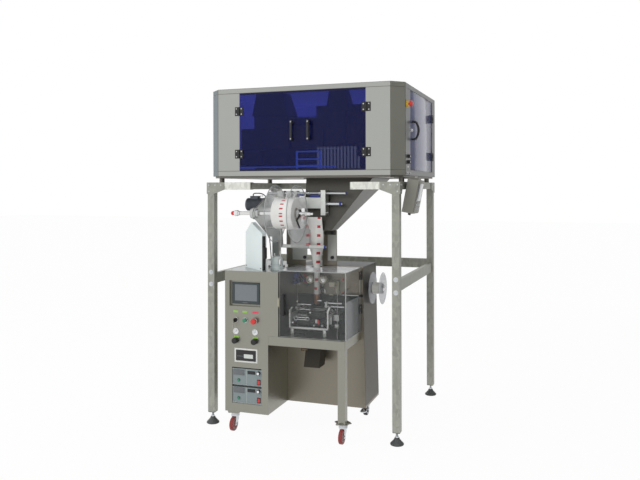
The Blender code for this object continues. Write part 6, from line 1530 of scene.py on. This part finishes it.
def terminal():
    """The tilted face, glass, keys and gland of the terminal beside the hood, and its bracket's bolts."""
    face = Shape()
    near = HOOD_X + 0.007
    turn = (radians(11), "Y", (near + 0.03, 0, HOOD_LOW - 0.026))
    x = near + 0.075
    y0, y1, z0, z1 = 0.15, 0.335, HOOD_LOW - 0.248, HOOD_LOW - 0.026
    face.box((x - 0.0005, y0 + 0.006, z0 + 0.006), (x + 0.003, y1 - 0.006, z1 - 0.006), 0.002, turn=turn)
    face.done("terminal_rim", "box_grey")
    glass = Shape()
    glass.box((x + 0.0032, y0 + 0.022, z0 + 0.085), (x + 0.004, y1 - 0.022, z1 - 0.022), 0.0006, turn=turn)
    glass.done("terminal_glass", "screen_glass")
    keys = Shape()
    for i in range(5):
        for row in range(2):
            y = y0 + 0.032 + i * 0.0255
            z = z0 + 0.028 + row * 0.026
            keys.box((x + 0.0025, y, z), (x + 0.0052, y + 0.018, z + 0.016), 0.0012, turn=turn)
    keys.done("terminal_keys", "meter")
    gland = Shape()
    at = (near + 0.035, (y0 + y1) / 2, z0 + 0.001)
    verts = gland.turned([(0.0125, 0), (0.0125, -0.008), (0.0095, -0.012), (0.0095, -0.02)], at, "z", 20)
    gland.softened(verts, turn=turn)
    gland.done("terminal_gland", "black")
    bolts = Shape()
    for y in (0.215, 0.265):
        bolts.hexagon((HOOD_X + 0.045, y, HOOD_LOW - 0.0126), "z", 1, 0.006, 0.005)
        bolts.hexagon((HOOD_X - 0.06, y, HOOD_LOW - 0.0176), "z", -1, 0.006, 0.005)
    bolts.done("terminal_bolts", "bright_steel")


# ---- stage ----

FLOOR_WHITE = 0.955  # how much of the floor's own shading gives way to plain white where it is seen
WORLD_LIGHT = 0.72  # strength of the world's light on the object
EYE, EYE_YAW, EYE_PITCH, EYE_ROLL = Vector((1.7069, -4.4425, 1.65)), radians(19.33), 0.0006, -0.0021
LENS, SENSOR, SHIFT_UP = 40.07, 36, -0.0833


def seen_directly(tree, strength):
    """Strength for what the camera sees straight, in mirrors or through glass, and 0 for other light."""
    path = add_node(tree, "LightPath")
    total = path.outputs["Is Camera Ray"]
    for name in ("Is Glossy Ray", "Is Transmission Ray"):
        total = calc(tree, "ADD", total, path.outputs[name], use_clamp=True)
    return calc(tree, "MULTIPLY", total, strength)


def white_for_camera(material, strength):
    """Makes a stage surface look white to the camera, in mirrors and in glass, yet keep some shadow."""
    tree = material.node_tree
    light = add_node(tree, "Emission", {"Color": (1, 1, 1, 1), "Strength": 1})
    own = tree.nodes["Principled BSDF"].outputs[0]
    mix = add_node(tree, "MixShader", {"Fac": seen_directly(tree, strength), 1: own, 2: light.outputs[0]})
    tree.links.new(mix.outputs[0], tree.nodes["Material Output"].inputs["Surface"])


def stage():
    """The white floor, world and lamps, and a grey card beside them that the camera does not see."""
    mesh = bmesh.new()
    bmesh.ops.create_grid(mesh, x_segments=1, y_segments=1, size=30)
    white = finish("floor_white", (0.9, 0.9, 0.9), 0.85, grain=4, tint=0.005, polish=0.02, relief=0, edge=0)
    white_for_camera(white, FLOOR_WHITE)
    floor = linked("floor", mesh_data("floor", mesh, white), (0, 0, -0.0008))
    world = bpy.data.worlds.new("studio")
    bpy.context.scene.world = world
    world.use_nodes = True
    background = world.node_tree.nodes["Background"]
    background.inputs["Color"].default_value = (1, 1, 1, 1)
    tree = world.node_tree
    tree.links.new(spread(tree, seen_directly(tree, 1.0), WORLD_LIGHT, 1.0), background.inputs["Strength"])
    card = Shape()
    card.box((3.3, -3.6, 0), (3.34, 4.6, 4.2))
    card.box((3.4, 5.9, 0), (9.0, 5.94, 5.0))
    grey = finish("card_grey", (0.42, 0.42, 0.41), 0.9, grain=4, relief=0, edge=0)
    flag = linked("card", mesh_data("card", card.mesh, grey))
    flag.visible_camera = False
    for name, place, target, size, power in (("key", (-3.4, -4.2, 4.2), (0, 0.3, 1.1), 2.4, 80),
                                             ("fill", (4.2, -3.0, 2.0), (0, 0.4, 1.1), 2.6, 8),
                                             ("top", (0.2, 0.6, 5.2), (0, 0.6, 0), 3.0, 30)):
        data = bpy.data.lights.new(name, "AREA")
        data.size = size
        data.energy = power
        lamp = linked(name, data, place)
        lamp.rotation_euler = (Vector(target) - Vector(place)).to_track_quat("-Z", "Y").to_euler()
        lamp.visible_glossy = False


def camera():
    """The photo's camera: level, on the right, its picture shifted down."""
    data = bpy.data.cameras.new("camera")
    data.sensor_width = SENSOR
    data.lens = LENS
    data.shift_y = SHIFT_UP
    eye = linked("camera", data)
    turn = Matrix.Rotation(EYE_YAW, 4, "Z") @ Matrix.Rotation(pi / 2 + EYE_PITCH, 4, "X")
    turn = turn @ Matrix.Rotation(EYE_ROLL, 4, "Z")
    eye.matrix_world = Matrix.Translation(ORIGIN + EYE) @ turn
    bpy.context.scene.camera = eye


dress_cad()
hood_covers()
front_doors()
side_door()
hood_controls()
hood_inside()
frame_fittings()
screen()
panel_labels()
panel_controls()
counter_plate()
generator_fronts()
cabinet_trim()
reel()
unwind_fittings()
unwind_motor()
dancer()
column_top()
former_plates()
film()
pull_rollers()
jaw_details()
station_details()
guard()
thread_reel()
castors()
table_trim()
terminal()
stage()
camera()

scene = bpy.context.scene
scene.view_settings.view_transform = "Standard"
